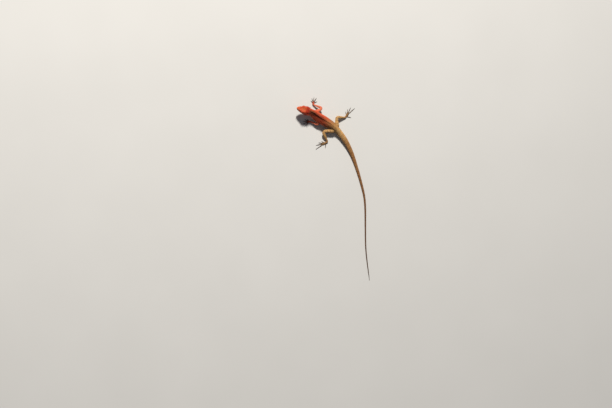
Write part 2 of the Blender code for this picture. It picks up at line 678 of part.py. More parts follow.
def make_body(nodes, materials):
    """Neck and torso with their crest, and the lengths of the tail."""
    half = NODE_GAP / 2
    fine = [0, 0.6, 1.2, 1.8, 2.4, 3, 3.6, 4.2, 4.8, 5.4, 6, 6.6, 7.3, 8]
    neck = body_length("neck", HEAD_END + half, NECK_END - half, 1.5, fine, nodes, materials["flame"])
    add_crest(neck, HEAD_END, NECK_END)
    torso = body_length("torso", NECK_END + half, VENT - half, 2.5, fine, nodes, materials["ember"])
    add_crest(torso, NECK_END, VENT)
    start = VENT
    for number, end in enumerate(TAIL_NODE_ENDS, start=1):
        coarse = [0, 1, 2, 3, 4, 5, 6, 7, 8] if number < 3 else [0, 4 / 3, 8 / 3, 4, 16 / 3, 20 / 3, 8]
        last = end - (half if end < TAIL_TIP else 0)
        body_length(f"tail_{number}", start + half, last, 4.5, coarse, nodes, materials["tail"])
        start = end


def make_materials():
    """One Principled material for each colour."""
    made = {}
    for name, (colour, roughness) in COLOURS.items():
        material = bpy.data.materials.new(name)
        material.use_nodes = True
        shader = material.node_tree.nodes["Principled BSDF"]
        shader.inputs["Base Color"].default_value = (*colour, 1)
        shader.inputs["Roughness"].default_value = roughness
        made[name] = material
    return made


def settle_on_origin(nodes):
    """Moves all nodes so that the bottom of their common box is centred on the origin."""
    corners = np.array([v.co for obj in nodes.objects for v in obj.data.vertices])
    low, high = corners.min(axis=0), corners.max(axis=0)
    shift = Matrix.Translation(Vector((-(low[0] + high[0]) / 2, -(low[1] + high[1]) / 2, -low[2])))
    for obj in nodes.objects:
        obj.data.transform(shift)
        obj.data.shade_smooth()


def main():
    """Builds every node of the lizard."""
    for obj in list(bpy.data.objects):
        bpy.data.objects.remove(obj)
    nodes = helper_collection("oriental_garden_lizard")
    materials = make_materials()
    make_head(nodes, materials)
    make_body(nodes, materials)
    guides = helper_collection("guides")
    stops = [0, 0.7, 1.4, 2.1, 2.8, 3.5, 4.2, 5, 5.8, 6.5, 7.2, 8]
    body = body_length("body_clearance", 24.0, 112.0, 2.0, stops, guides, swell=NODE_GAP)
    for leg in LEG_CORNERS:
        make_leg(leg, body, nodes, materials["flame" if leg.startswith("fore") else "tan"])
    remove_all(guides)
    settle_on_origin(nodes)


main()
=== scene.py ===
"""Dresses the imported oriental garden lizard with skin, scales, crest, eyes, eardrums and claws.

Shapes are worked out in millimetres in the working frame of the solids: the floor is at zero, Y runs
under the torso from head to tail, and X points to the animal's left. Every finished piece is then
moved to the row frame, in metres, with its object at the origin. A place on the head, trunk or tail
is its distance from the snout along the centreline, and a share of the way round from the back's
midline: a quarter is the left side, a half the belly and three quarters the right side.
"""

from __future__ import annotations

import logging
import math
from dataclasses import dataclass
from enum import Enum, IntEnum

import bmesh
import bpy
import numpy as np
from mathutils import Matrix, Vector
from mathutils.bvhtree import BVHTree
from mathutils.kdtree import KDTree


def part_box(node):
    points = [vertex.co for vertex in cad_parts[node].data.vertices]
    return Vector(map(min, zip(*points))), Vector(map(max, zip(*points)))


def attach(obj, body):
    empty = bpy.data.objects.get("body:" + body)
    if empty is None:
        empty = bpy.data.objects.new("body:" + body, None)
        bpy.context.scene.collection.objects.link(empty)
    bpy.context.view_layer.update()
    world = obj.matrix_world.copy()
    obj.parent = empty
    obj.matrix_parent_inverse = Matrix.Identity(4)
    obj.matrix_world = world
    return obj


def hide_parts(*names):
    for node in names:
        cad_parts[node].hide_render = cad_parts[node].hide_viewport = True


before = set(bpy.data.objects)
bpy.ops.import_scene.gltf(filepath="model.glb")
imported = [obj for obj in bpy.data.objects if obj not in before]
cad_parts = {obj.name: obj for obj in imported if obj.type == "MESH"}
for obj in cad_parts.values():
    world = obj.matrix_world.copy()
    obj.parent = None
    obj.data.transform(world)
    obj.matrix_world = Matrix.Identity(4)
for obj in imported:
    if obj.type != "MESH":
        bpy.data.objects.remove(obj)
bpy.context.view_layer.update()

LOG = logging.getLogger("lizard")
MM = 0.001
TAU = 2 * math.pi
SEED = 7
CHUNK_TRIANGLES = 180_000
FLOOR_GAP = 0.02
Array = np.ndarray
Piece = bpy.types.Object
Triple = tuple[float, float, float]
Table = tuple[tuple[float, ...], ...]


def through_rows(rows: Table, at: float | Array) -> Array:
    """Reads a table on a curve through its rows that doesn't overshoot them.

    Args:
        rows: a place followed by one or more values, in order of place.
        at: the places to read.

    Returns:
        One line of values for each place.
    """
    table = np.array(rows, float)
    x, y = table[:, 0], table[:, 1:]
    step = np.diff(x)[:, None]
    slope = np.diff(y, axis=0) / step
    before, after = slope[:-1], slope[1:]
    weight_a = 2 * step[1:] + step[:-1]
    weight_b = step[1:] + 2 * step[:-1]
    same_way = before * after > 0
    safe_before, safe_after = np.where(same_way, before, 1.0), np.where(same_way, after, 1.0)
    mean = (weight_a + weight_b) / (weight_a / safe_before + weight_b / safe_after)
    tangent = np.concatenate([slope[:1], np.where(same_way, mean, 0.0), slope[-1:]])
    places = np.clip(np.atleast_1d(np.asarray(at, float)), x[0], x[-1])
    row = np.clip(np.searchsorted(x, places) - 1, 0, len(x) - 2)
    length = step[row]
    t = (places - x[row])[:, None] / length
    near, far = (1 + 2 * t) * (1 - t) ** 2, t * t * (3 - 2 * t)
    rise, fall = t * (1 - t) ** 2 * length, t * t * (t - 1) * length
    return near * y[row] + far * y[row + 1] + rise * tangent[row] + fall * tangent[row + 1]


def profile(rows: Table, at: float) -> float:
    """One number from a two-column table."""
    return float(through_rows(rows, at)[0, 0])


def fade(start: float, end: float, at: Array | float) -> Array:
    """0 up to start, 1 from end, and a smooth step between them."""
    t = np.clip((np.asarray(at, float) - start) / (end - start), 0, 1)
    return t * t * (3 - 2 * t)


def hill(at: Array, middle: float | Array, width: float) -> Array:
    """1 at the middle, and less and less away from it."""
    return np.exp(-(((at - middle) / width) ** 2))


def unit(vectors: Array) -> Array:
    """The same directions with length one."""
    return vectors / np.maximum(np.linalg.norm(vectors, axis=-1, keepdims=True), 1e-12)


def circle(count: int, turn: float = 0.0) -> Array:
    """Even angles round a circle, from turn steps past zero."""
    return (np.arange(count) + turn) * TAU / count


def lengths_along(line: Array) -> Array:
    """How far each point of a line is from its start."""
    return np.concatenate([[0], np.cumsum(np.linalg.norm(np.diff(line, axis=0), axis=1))])


def between(at: float | Array, places: Array, rows: Array) -> Array:
    """Rows of a table at places between its own, along straight lines."""
    return np.stack([np.interp(at, places, column) for column in np.transpose(rows)], axis=-1)


def in_grid(grid: Array, low: Array, left: Array, right: Array, t: Array, u: Array) -> Array:
    """Points inside the meshes of a grid.

    Args:
        grid: the grid's points, as (rows, columns, 3).
        low: the row before each point.
        left: the column on one side of it.
        right: the column on the other side.
        t: how far it is to the next row, from 0 to 1.
        u: how far it is to the other column.

    Returns:
        The points.
    """
    near = grid[low, left] * (1 - u) + grid[low, right] * u
    far = grid[low + 1, left] * (1 - u) + grid[low + 1, right] * u
    return near * (1 - t) + far * t


def linear(code: str) -> Array:
    """A display colour such as "E8703C" as linear RGB."""
    raw = np.array([int(code[i : i + 2], 16) for i in (0, 2, 4)]) / 255
    return np.where(raw <= 0.04045, raw / 12.92, ((raw + 0.055) / 1.055) ** 2.4)


def search_tree(spots: Array) -> KDTree:
    """A search tree over points.

    Args:
        spots: the points.

    Returns:
        The tree.
    """
    made = KDTree(len(spots))
    for i, spot in enumerate(spots):
        made.insert(spot, i)
    made.balance()
    return made


def points_of(piece: Piece) -> Array:
    """The points of a piece's mesh."""
    return np.array([vert.co for vert in piece.data.vertices])


def as_runs(faces: list[list[int]]) -> tuple[Array, Array]:
    """Faces as one run of point numbers and the corners of each face."""
    return np.concatenate([np.array(face) for face in faces]), np.array([len(face) for face in faces])


def face_outwards(piece: Piece) -> None:
    """Turns the faces of a closed mesh outwards.

    Args:
        piece: the mesh's object.
    """
    work = bmesh.new()
    work.from_mesh(piece.data)
    bmesh.ops.recalc_face_normals(work, faces=work.faces)
    work.to_mesh(piece.data)
    work.free()


def add_object(name: str, data: bpy.types.ID) -> Piece:
    """Puts a new object into the scene.

    Args:
        name: its name.
        data: its mesh, lamp or lens.

    Returns:
        The object.
    """
    made = bpy.data.objects.new(name, data)
    bpy.context.scene.collection.objects.link(made)
    return made


def select(*pieces: Piece) -> None:
    """Selects pieces alone, with the first of them active.

    Args:
        pieces: the pieces, or none to deselect everything.
    """
    bpy.ops.object.select_all(action="DESELECT")
    for piece in reversed(pieces):
        piece.select_set(True)
        bpy.context.view_layer.objects.active = piece


def modify(piece: Piece, kind: str, **settings: object) -> None:
    """Gives a piece a modifier and applies it.

    Args:
        piece: the piece.
        kind: the modifier's type.
        settings: its settings, by name.
    """
    made = piece.modifiers.new(kind.lower(), kind)
    for name, value in settings.items():
        setattr(made, name, value)
    bpy.context.view_layer.objects.active = piece
    bpy.ops.object.modifier_apply(modifier=made.name)


def wire(tree: bpy.types.NodeTree, node: bpy.types.Node | str, **inputs: object) -> bpy.types.Node:
    """Sets a node's inputs, and makes the node first where only its kind is given.

    Args:
        tree: the tree that it is in.
        node: the node or its kind.
        inputs: a value or a socket to link for each input, with _ for the spaces in its name.

    Returns:
        The node.
    """
    if isinstance(node, str):
        node = tree.nodes.new(f"ShaderNode{node}")
    for name, value in inputs.items():
        target = node.inputs[name.replace("_", " ")]
        if isinstance(value, bpy.types.NodeSocket):
            tree.links.new(value, target)
        else:
            target.default_value = value
    return node


class Slot(Enum):
    """The record's material slots."""

    FLAME = "skin_flame"
    EMBER = "skin_ember"
    TAN = "skin_tan"
    TAIL = "skin_tail"
    EYE = "eye"
    EARDRUM = "eardrum"


class Side(Enum):
    """The animal's two sides, with the sign of X on each."""

    LEFT = 1
    RIGHT = -1

    @property
    def word(self) -> str:
        """The side's name as the nodes spell it."""
        return self.name.lower()


EYE_PLACE: Triple = (4.75, 12.9, 6.1)


@dataclass(frozen=True)
class BodyForm:
    """Sizes of the head, trunk and tail, the same as those of the solids."""

    hip: float = 98.5
    tail_tip: float = 439.0
    tail_lies_from: float = 186.0
    lying_height: float = 0.86
    heading: Table = (
        (0, -18.5), (27, -18.5), (33.5, -13), (43, 1.5), (60, -3.5), (79, -3.5), (95, 2.5), (104, 11),
        (128, 21.5), (154, 30), (184, 37.5), (214, 40), (244, 43), (274, 53), (304, 57), (344, 56.5),
        (379, 52), (404, 49.5), (439, 49),
    )
    height: Table = (
        (0, 20.2), (27, 17.2), (33.5, 16.2), (41, 15.0), (52, 13.5), (65, 12.3), (78, 11.3), (91, 9.8),
        (99.5, 8.6), (110, 7.7), (124, 7.0), (142, 5.9), (164, 4.3), (186, 2.75),
    )
    section: Table = (
        (24, 8.7, 10.9, 8.0), (28, 7.7, 10.5, 8.6), (33.5, 7.1, 9.7, 8.2), (39, 7.7, 9.5, 8.6),
        (45.5, 8.7, 9.8, 9.2), (54, 9.4, 10.3, 9.6), (67, 9.8, 10.7, 9.7), (80, 9.3, 10.2, 9.2),
        (91, 8.2, 9.0, 8.0), (99.5, 7.2, 7.8, 6.9), (106, 6.4, 6.8, 6.0), (114, 5.9, 6.1, 5.5),
        (126, 5.5, 5.7, 5.2), (142, 4.7, 4.8, 4.6), (164, 3.8, 3.8, 3.8), (186, 3.1, 3.1, 3.1),
        (216, 2.5, 2.5, 2.5), (256, 1.95, 1.95, 1.95), (306, 1.5, 1.5, 1.5), (366, 1.15, 1.15, 1.15),
        (416, 0.8, 0.8, 0.8), (439, 0.35, 0.35, 0.35),
    )
    ridged_ring: Table = (
        (0, 1), (0.30, 0.93), (0.61, 0.71), (0.87, 0.37), (1, 0), (0.95, -0.40), (0.76, -0.72),
        (0.42, -0.93), (0, -1),
    )
    ridge_fades: tuple[float, float] = (104.0, 142.0)
    crown_height: Table = (
        (0, 4.2), (2, 5.0), (4, 5.9), (7, 7.2), (10, 8.8), (13.5, 10.2), (17, 10.9), (29, 10.7),
    )
    crown_edge_width: Table = ((0, 1.2), (7, 2.2), (13.5, 3.1), (20, 3.8), (29, 3.6))
    crown_edge_rise: Table = ((0, -0.1), (7, 0.0), (13, 0.45), (17, 0.25), (22, -0.4), (29, -0.8))
    brow_width: Table = (
        (0, 2.0), (2, 2.7), (5, 3.6), (8, 4.6), (11, 5.9), (14, 6.6), (18, 6.5), (29, 6.3),
    )
    brow_height: Table = (
        (0, 3.4), (2, 4.5), (5, 6.1), (8, 7.8), (11, 9.8), (14, 10.6), (18, 9.9), (23, 8.6), (29, 7.6),
    )
    side_width: Table = (
        (0, 2.4), (2, 3.2), (5, 4.2), (8, 4.9), (11, 5.4), (14, 6.1), (17, 7.1), (21, 8.6), (25, 8.9),
        (29, 7.6),
    )
    side_height: Table = ((0, 2.0), (5, 3.2), (10, 5.0), (14, 6.0), (18, 5.8), (24, 4.7), (29, 4.0))
    lip_width: Table = (
        (0, 2.5), (2, 3.4), (5, 4.8), (8, 5.9), (12, 7.1), (16, 8.1), (20, 9.3), (24, 9.7), (29, 8.3),
    )
    lip_height: Table = ((0, 0.7), (8, 0.6), (14, 0.9), (19, 1.6), (29, 1.0))
    mouth_height: Table = ((0, 0.0), (8, -0.35), (14, -0.1), (19, 0.5), (29, 0.0))
    jaw_height: Table = ((0, -0.8), (5, -1.6), (10, -2.3), (17, -2.7), (24, -3.2), (29, -3.5))
    throat_depth: Table = ((0, 2.2), (2, 2.7), (5, 3.7), (10, 4.9), (17, 6.3), (24, 8.0), (29, 8.6))
    jaw_share: float = 0.97
    lower_width_share: float = 0.66
    lower_depth_share: float = 0.88
    snout_rounding: float = 2.4
    snout_centre: float = 1.0
    snout_tip_share: float = 0.22
    head_turns_to_neck: tuple[float, float] = (22.5, 28.0)
    mouth_corner: float = 19.5
    stops: int = 8
    mouth_stop: float = 5.0

    def axis_height(self, at: float) -> float:
        """Height of the centreline over the floor."""
        lying = float(through_rows(self.section, at)[0, 2]) * self.lying_height
        return profile(self.height, at) if at < self.tail_lies_from else lying

    def centreline(self, step: float = 0.5) -> tuple[Array, Array]:
        """Lays out the centreline, with the hips at the frame's zero.

        Args:
            step: distance between its points.

        Returns:
            Distances from the snout, and the points there.
        """
        places = np.arange(0.0, self.tail_tip + step / 2, step)
        heading = np.radians(through_rows(self.heading, places)[:, 0])
        heights = np.array([self.axis_height(s) for s in places])
        level = np.sqrt(1 - np.gradient(heights, step) ** 2)
        ahead = np.stack([np.sin(heading) * level, np.cos(heading) * level], axis=1)
        moves = (ahead[1:] + ahead[:-1]) / 2 * step
        flat = np.concatenate([[[0.0, 0.0]], np.cumsum(moves, axis=0)])
        flat -= flat[np.argmin(abs(places - self.hip))]
        return places, np.column_stack([flat, heights])

    def head_landmarks(self, at: float) -> Array:
        """Half outline of the head at a distance from the snout.

        Args:
            at: the distance.

        Returns:
            Crown, crown edge, brow, side, lip, mouth, jaw, lower jaw and throat, as (side, height).
        """
        crown, lip = profile(self.crown_height, at), profile(self.lip_width, at)
        throat = -profile(self.throat_depth, at)
        ring = np.array([
            (0, crown),
            (profile(self.crown_edge_width, at), crown + profile(self.crown_edge_rise, at)),
            (profile(self.brow_width, at), profile(self.brow_height, at)),
            (profile(self.side_width, at), profile(self.side_height, at)),
            (lip, profile(self.lip_height, at)),
            (lip, profile(self.mouth_height, at)),
            (lip * self.jaw_share, profile(self.jaw_height, at)),
            (lip * self.lower_width_share, throat * self.lower_depth_share),
            (0, throat),
        ])
        if at < self.snout_rounding:
            rounding = math.sqrt(1 - (1 - at / self.snout_rounding) ** 2)
            share = self.snout_tip_share + (1 - self.snout_tip_share) * rounding
            centre = np.array([0, self.snout_centre])
            ring = centre + (ring - centre) * share
        return ring

    def body_landmarks(self, at: float) -> Array:
        """Half outline of the neck, torso or tail at a distance from the snout.

        Args:
            at: the distance.

        Returns:
            As many points as the head's outline has, as (side, height).
        """
        roundness = float(fade(*self.ridge_fades, at))
        angles = np.arange(self.stops + 1) * math.pi / self.stops
        round_ring = np.column_stack([np.sin(angles), np.cos(angles)])
        shares = np.array(self.ridged_ring) * (1 - roundness) + round_ring * roundness
        half_width, rise, depth = through_rows(self.section, at)[0]
        heights = np.where(shares[:, 1] > 0, rise, depth)
        return np.column_stack([shares[:, 0] * half_width, shares[:, 1] * heights])

    def landmarks(self, at: float) -> Array:
        """The half outline at a distance from the snout, where the head turns to neck a mix of both.

        Args:
            at: the distance.

        Returns:
            The outline's landmarks, as (side, height) from the centreline.
        """
        share = float(fade(*self.head_turns_to_neck, at))
        if share in (0, 1):
            return self.body_landmarks(at) if share else self.head_landmarks(at)
        return self.head_landmarks(at) * (1 - share) + self.body_landmarks(at) * share

    def half_outline(self, at: float, stops: Array) -> Array:
        """The half outline as a smooth line through its landmarks.

        Args:
            at: distance from the snout.
            stops: places between the landmarks, from 0 at the crown to 8 at the throat.

        Returns:
            The line's points there, as (side, height).
        """
        half = self.landmarks(at)
        mirrored = half * np.array([-1, 1])
        loop = np.concatenate([mirrored[1:2], half, mirrored[-2:-1]])
        i = np.minimum(stops.astype(int), self.stops - 1)
        t = (stops - i)[:, None]
        a, b, c, d = loop[i], loop[i + 1], loop[i + 2], loop[i + 3]
        cubic = (2 * a - 5 * b + 4 * c - d) * t**2 + (3 * b - a - 3 * c + d) * t**3
        return 0.5 * (2 * b + (c - a) * t + cubic)


class Tube:
    """A surface as rings of points along it, which can be read at any distance and share of the way round."""

    def __init__(self, stations: Array, rings: Array, around: int = 160) -> None:
        """Keeps the rings and spaces a copy of each evenly.

        Args:
            stations: distance of each ring along the tube.
            rings: the points of each ring, as (rings, points, 3).
            around: how many even points each ring gets.
        """
        self.stations, self.rings, self.around = stations, rings, around
        closed = np.concatenate([rings, rings[:, :1]], axis=1)
        self.girth = np.linalg.norm(np.diff(closed, axis=1), axis=2).sum(axis=1)
        shares = np.arange(around) / around
        self.even = np.array([
            between(shares, lengths_along(ring) / girth, ring) for ring, girth in zip(closed, self.girth)
        ])

    def point(self, at: Array, share: Array) -> Array:
        """The surface's points.

        Args:
            at: distances along it.
            share: shares of the way round.

        Returns:
            The points.
        """
        row = np.interp(at, self.stations, np.arange(len(self.stations)))
        low = np.clip(row.astype(int), 0, len(self.stations) - 2)
        turn = np.mod(share, 1.0) * self.around
        here = turn.astype(int) % self.around
        t, u = (row - low)[:, None], (turn - np.floor(turn))[:, None]
        return in_grid(self.even, low, here, (here + 1) % self.around, t, u)

    def frame(self, at: Array, share: Array) -> tuple[Array, Array, Array, Array]:
        """The surface's points and directions.

        Args:
            at: distances along it.
            share: shares of the way round.

        Returns:
            Points, directions along, directions round and outward normals.
        """
        reach_along, reach_round = 0.4, 0.008
        place = self.point(at, share)
        along = unit(self.point(at + reach_along, share) - self.point(at - reach_along, share))
        around = unit(self.point(at, share + reach_round) - self.point(at, share - reach_round))
        normal = unit(np.cross(along, around))
        row = np.interp(at, self.stations, np.arange(len(self.stations)))
        middle = self.even.mean(axis=1)[np.clip(row.round().astype(int), 0, len(self.stations) - 1)]
        inward = np.einsum("ij,ij->i", normal, place - middle) < 0
        normal[inward] *= -1
        return place, along, around, normal

    def grid(self, around: int) -> tuple[Array, Array]:
        """Distances and shares of even places all over the surface, some to each ring."""
        at, share = np.meshgrid(self.stations, np.arange(around) / around, indexing="ij")
        return at.ravel(), share.ravel()

    def girth_at(self, at: float) -> float:
        """Length round the tube at a distance along it."""
        return float(np.interp(at, self.stations, self.girth))


class Body:
    """The head, trunk and tail in place: centreline, outline and named points."""

    def __init__(self, form: BodyForm, skin_depth: float = 0.25) -> None:
        """Lays out the centreline and the skin's surface.

        Args:
            form: sizes of the body.
            skin_depth: how far the skin lies under the solids' surface.
        """
        self.form, self.skin_depth = form, skin_depth
        self.places, self.points = form.centreline()
        self.head = self.frame_at(1.0)
        stations = np.concatenate([
            [0, 0.12, 0.35, 0.7, 1.1, 1.6, 2.0],
            np.arange(2.4, 30, 0.45),
            np.arange(30, 130, 1.0),
            np.arange(130, form.tail_tip, 1.6),
            [form.tail_tip],
        ])
        self.tube = Tube(stations, np.array([self.ring(at) for at in stations]))
        eye = np.array([np.array(corner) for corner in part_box("eye_left")]).mean(axis=0) / MM
        self.shift = eye - self.in_head(EYE_PLACE, Side.LEFT)

    def frame_at(self, at: float) -> tuple[Array, Array, Array, Array]:
        """The centreline's point and directions.

        Args:
            at: distance from the snout.

        Returns:
            The point, and the directions left, tailwards and up.
        """
        point, low, high = (between(place, self.places, self.points) for place in (at, at - 0.5, at + 0.5))
        tailwards = (high - low) / np.linalg.norm(high - low)
        left = unit(np.array([tailwards[1], -tailwards[0], 0.0]))
        return point, left, tailwards, np.cross(left, tailwards)

    def ring(self, at: float) -> Array:
        """The skin's closed outline, none of it below the floor.

        Args:
            at: distance from the snout.

        Returns:
            The outline's points.
        """
        half = self.form.half_outline(at, np.arange(0, self.form.stops + 0.01, 0.25))
        ring = np.concatenate([half, half[-2:0:-1] * np.array([-1, 1])])
        centre = np.array([0.0, ring[:, 1].mean()])
        outwards = ring - centre
        far = np.linalg.norm(outwards, axis=1)[:, None]
        ring = centre + outwards / far * np.maximum(far - self.skin_depth, far * 0.5)
        point, left, _, up = self.frame_at(at)
        placed = point + ring[:, :1] * left + ring[:, 1:] * up
        placed[:, 2] = np.maximum(placed[:, 2], 0.0)
        return placed

    def on_outline(self, at: float, stop: float, side: Side) -> Array:
        """A point of the outline.

        Args:
            at: distance from the snout.
            stop: place between the landmarks.
            side: the side of the head or body.

        Returns:
            The point.
        """
        x, z = self.form.half_outline(at, np.array([stop]))[0]
        point, left, _, up = self.frame_at(at)
        return point + left * x * side.value + up * z

    def in_head(self, place: Triple, side: Side) -> Array:
        """A point given in the head's frame.

        Args:
            place: distance to the side, distance from the snout and height.
            side: which side.

        Returns:
            The point.
        """
        point, left, tailwards, up = self.head
        across, at, height = place
        return point + left * across * side.value + tailwards * (at - 1.0) + up * height

    def head_direction(self, direction: Triple, side: Side) -> Array:
        """A direction given in the head's frame."""
        _, left, tailwards, up = self.head
        return unit(left * direction[0] * side.value + tailwards * direction[1] + up * direction[2])

    def to_row(self, points: Array) -> Array:
        """Points of the working frame in the row frame, in metres."""
        return (points + self.shift) * MM

    def from_row(self, points: Array) -> Array:
        """Points of the row frame in the working frame."""
        return points / MM - self.shift


@dataclass(frozen=True)
class LegForm:
    """Sizes of one leg, the same as those of the solids."""

    name: str
    side: Side
    corners: Table
    bends: tuple[float, float]
    sizes: Table
    toes: Table
    splits: tuple[str, str, str]

    @property
    def fore(self) -> bool:
        """Whether this is an arm."""
        return self.name == "foreleg"

    @property
    def nodes(self) -> list[str]:
        """The solids that this leg's skin stands for."""
        return [f"{part}_{self.side.word}" for part in self.splits]


FORE_SIZES: Table = (
    (0, 2.4, 2.6), (0.08, 3.6, 3.8), (0.2, 3.9, 4.0), (0.4, 3.2, 3.4), (0.7, 2.5, 2.7), (1, 2.25, 2.35),
    (1.25, 2.4, 2.4), (1.6, 1.8, 1.8), (1.9, 1.45, 1.4), (2.1, 1.5, 1.25), (2.6, 2.3, 1.15), (3, 2.2, 0.95),
)
HIND_SIZES: Table = (
    (0, 3.4, 3.2), (0.08, 4.8, 4.6), (0.2, 5.1, 5.0), (0.4, 4.3, 4.5), (0.7, 3.2, 3.4), (1, 2.7, 2.8),
    (1.25, 2.9, 2.9), (1.6, 2.2, 2.2), (1.88, 1.65, 1.6), (2.1, 1.7, 1.4), (2.5, 1.9, 1.25), (3, 2.5, 1.0),
)
FORE_TOES: Table = (
    (-2.6, 1.5, 62, 4.2), (-1.0, 1.3, 33, 7.0), (-0.5, 0.3, 8, 9.2), (-0.7, -0.8, -17, 9.4),
    (-2.2, -1.4, -50, 6.6),
)
HIND_TOES: Table = (
    (-4.2, 1.7, 56, 5.0), (-1.4, 1.6, 33, 8.6), (-0.6, 0.6, 14, 13.6), (-0.8, -0.6, -8, 18.0),
    (-7.2, -1.2, -60, 9.6),
)
FORE = ((2.9, 2.0), FORE_SIZES, FORE_TOES, ("upper_arm", "forearm", "hand"))
HIND = ((3.6, 2.2), HIND_SIZES, HIND_TOES, ("thigh", "shank", "foot"))
LEGS = (
    LegForm(
        "foreleg", Side.RIGHT,
        ((-4.2, -56.0, 12.3), (-19.8, -47.2, 11.6), (-16.6, -67.6, 2.5), (-22.6, -69.3, 0.6)), *FORE,
    ),
    LegForm(
        "foreleg", Side.LEFT,
        ((6.8, -52.4, 12.4), (13.6, -31.2, 10.6), (17.2, -52.8, 2.5), (20.8, -57.8, 0.6)), *FORE,
    ),
    LegForm(
        "hindleg", Side.RIGHT,
        ((-4.0, 0.4, 8.4), (-21.4, -11.2, 9.6), (-32.4, 5.8, 2.7), (-43.7, 7.5, 0.65)), *HIND,
    ),
    LegForm(
        "hindleg", Side.LEFT,
        ((4.6, -0.6, 8.4), (21.0, -20.6, 10.2), (31.8, 1.6, 2.7), (42.0, -4.4, 0.65)), *HIND,
    ),
)


def bent_path(corners: Table, bends: tuple[float, ...], step: float = 0.25) -> tuple[Array, Array]:
    """A path through corners with rounded bends, and the stage of each point.

    Args:
        corners: points from the body outwards.
        bends: radius of the bend at each inner corner.
        step: distance between the path's points.

    Returns:
        The points, and their stages: 0 at the start, 1 in the middle of the first bend, and so on.
    """
    points = [np.array(corner, float) for corner in corners]
    stretches, begun = [], [points[0]]
    for i, radius in enumerate(bends, start=1):
        into, away = unit(points[i] - points[i - 1]), unit(points[i + 1] - points[i])
        turn = math.acos(float(np.clip(into @ away, -1, 1)))
        start = points[i] - into * radius * math.tan(turn / 2)
        inwards = unit(away - into * math.cos(turn))
        angles = np.linspace(0, turn, max(3, int(radius * turn / step)))
        arc = [start + into * radius * math.sin(a) + inwards * radius * (1 - math.cos(a)) for a in angles]
        middle = len(arc) // 2
        stretches.append([*begun, *arc[: middle + 1]])
        begun = arc[middle:]
    stretches.append([*begun, points[-1]])
    path, stages = [], []
    for number, stretch in enumerate(stretches):
        line = np.array(stretch)
        along = lengths_along(line)
        even = np.linspace(0, along[-1], max(3, int(along[-1] / step)))
        last = None if number == len(bends) else -1
        path += list(between(even, along, line)[:last])
        stages += list((number + even / along[-1])[:last])
    return np.array(path), np.array(stages)


def oval_ring(centre: Array, ahead: Array, half_width: float, half_height: float, sides: int) -> Array:
    """An oval of points round a tube, from its top, none of them below the floor.

    Args:
        centre: the oval's centre.
        ahead: where the tube runs.
        half_width: half of the oval's level width.
        half_height: half of its height.
        sides: how many points it has.

    Returns:
        The points.
    """
    across = unit(np.cross(ahead, (0, 0, 1)))
    up = np.cross(across, unit(ahead))
    angles = circle(sides)
    ring = centre + np.outer(np.sin(angles), across) * half_width + np.outer(np.cos(angles), up) * half_height
    ring[:, 2] = np.maximum(ring[:, 2], 0.0)
    return ring


@dataclass(frozen=True)
class ToeForm:
    """Sizes shared by all toes."""

    radius: float = 0.92
    tip_radius: float = 0.6
    knuckles: int = 3
    swell: float = 0.10
    claw_length: float = 2.0
    lying_height: float = 0.86
    slopes_to: float = 0.3
    rounded_from: float = 0.93
    rounded_for: float = 0.07
    skin_depth: float = 0.12
    levels: int = 28


@dataclass(frozen=True)
class Toe:
    """One toe in place, which lies on the floor and swells at its knuckles."""

    form: ToeForm
    root: Array
    direction: Array
    length: float

    def tube(self) -> Tube:
        """The toe's surface, from its root to its rounded tip.

        Returns:
            The surface.
        """
        form, rings = self.form, []
        shares = np.linspace(0, 1, form.levels)
        for share in shares:
            radius = form.radius + (form.tip_radius - form.radius) * share
            radius *= 1.0 + form.swell * math.cos(TAU * form.knuckles * share)
            height = max(radius * form.lying_height, self.root[2] * (1 - share / form.slopes_to))
            rounding = max(0.0, (share - form.rounded_from) / form.rounded_for)
            inner = (radius - form.skin_depth) * math.sqrt(max(0.04, 1 - rounding**2))
            centre = np.array([*(self.root + self.direction * self.length * share)[:2], height])
            rings.append(oval_ring(centre, self.direction, inner, inner, 16))
        return Tube(shares * self.length, np.array(rings), 32)


class Leg:
    """One leg in place: its tube from the body to the palm or sole, and its toes."""

    def __init__(self, form: LegForm, toe: ToeForm, skin_depth: float = 0.2) -> None:
        """Lays out the leg's surface and its toes.

        Args:
            form: sizes of the leg.
            toe: sizes of the toes.
            skin_depth: how far the skin lies under the solids' surface.
        """
        self.form, self.toe_form, self.skin_depth = form, toe, skin_depth
        self.path, self.path_stages = bent_path(form.corners, form.bends)
        self.along = lengths_along(self.path)
        stations = np.arange(0, self.along[-1], 0.5)
        self.tube = Tube(stations, np.array([self.ring(at) for at in stations]), 64)
        self.toes = [self.toe(*row) for row in form.toes]

    def stage(self, at: Array | float) -> Array:
        """The stage at a distance along the leg."""
        return np.interp(at, self.along, self.path_stages)

    def ring(self, at: float) -> Array:
        """The skin's outline round the leg.

        Args:
            at: distance along the leg.

        Returns:
            The outline's points.
        """
        before, middle, after = (between(place, self.along, self.path) for place in (at - 0.4, at, at + 0.4))
        half_width, half_height = through_rows(self.form.sizes, self.stage(at))[0] - self.skin_depth
        return oval_ring(middle, after - before, half_width, half_height, 32)

    def toe(self, along: float, across: float, splay: float, length: float) -> Toe:
        """Places one toe.

        Args:
            along: how far its root is past the end of the palm or sole.
            across: how far its root is from the middle, towards the first toe.
            splay: its angle from straight ahead, in degrees.
            length: its length.

        Returns:
            The toe.
        """
        before, end = (np.array(corner, float) for corner in self.form.corners[-2:])
        ahead = unit((end - before) * np.array([1, 1, 0]))
        turn = -self.form.side.value
        inner = np.array([-ahead[1], ahead[0], 0.0]) * turn
        heading = math.atan2(ahead[1], ahead[0]) + math.radians(splay) * turn
        direction = np.array([math.cos(heading), math.sin(heading), 0.0])
        return Toe(self.toe_form, end + ahead * along + inner * across, direction, length)


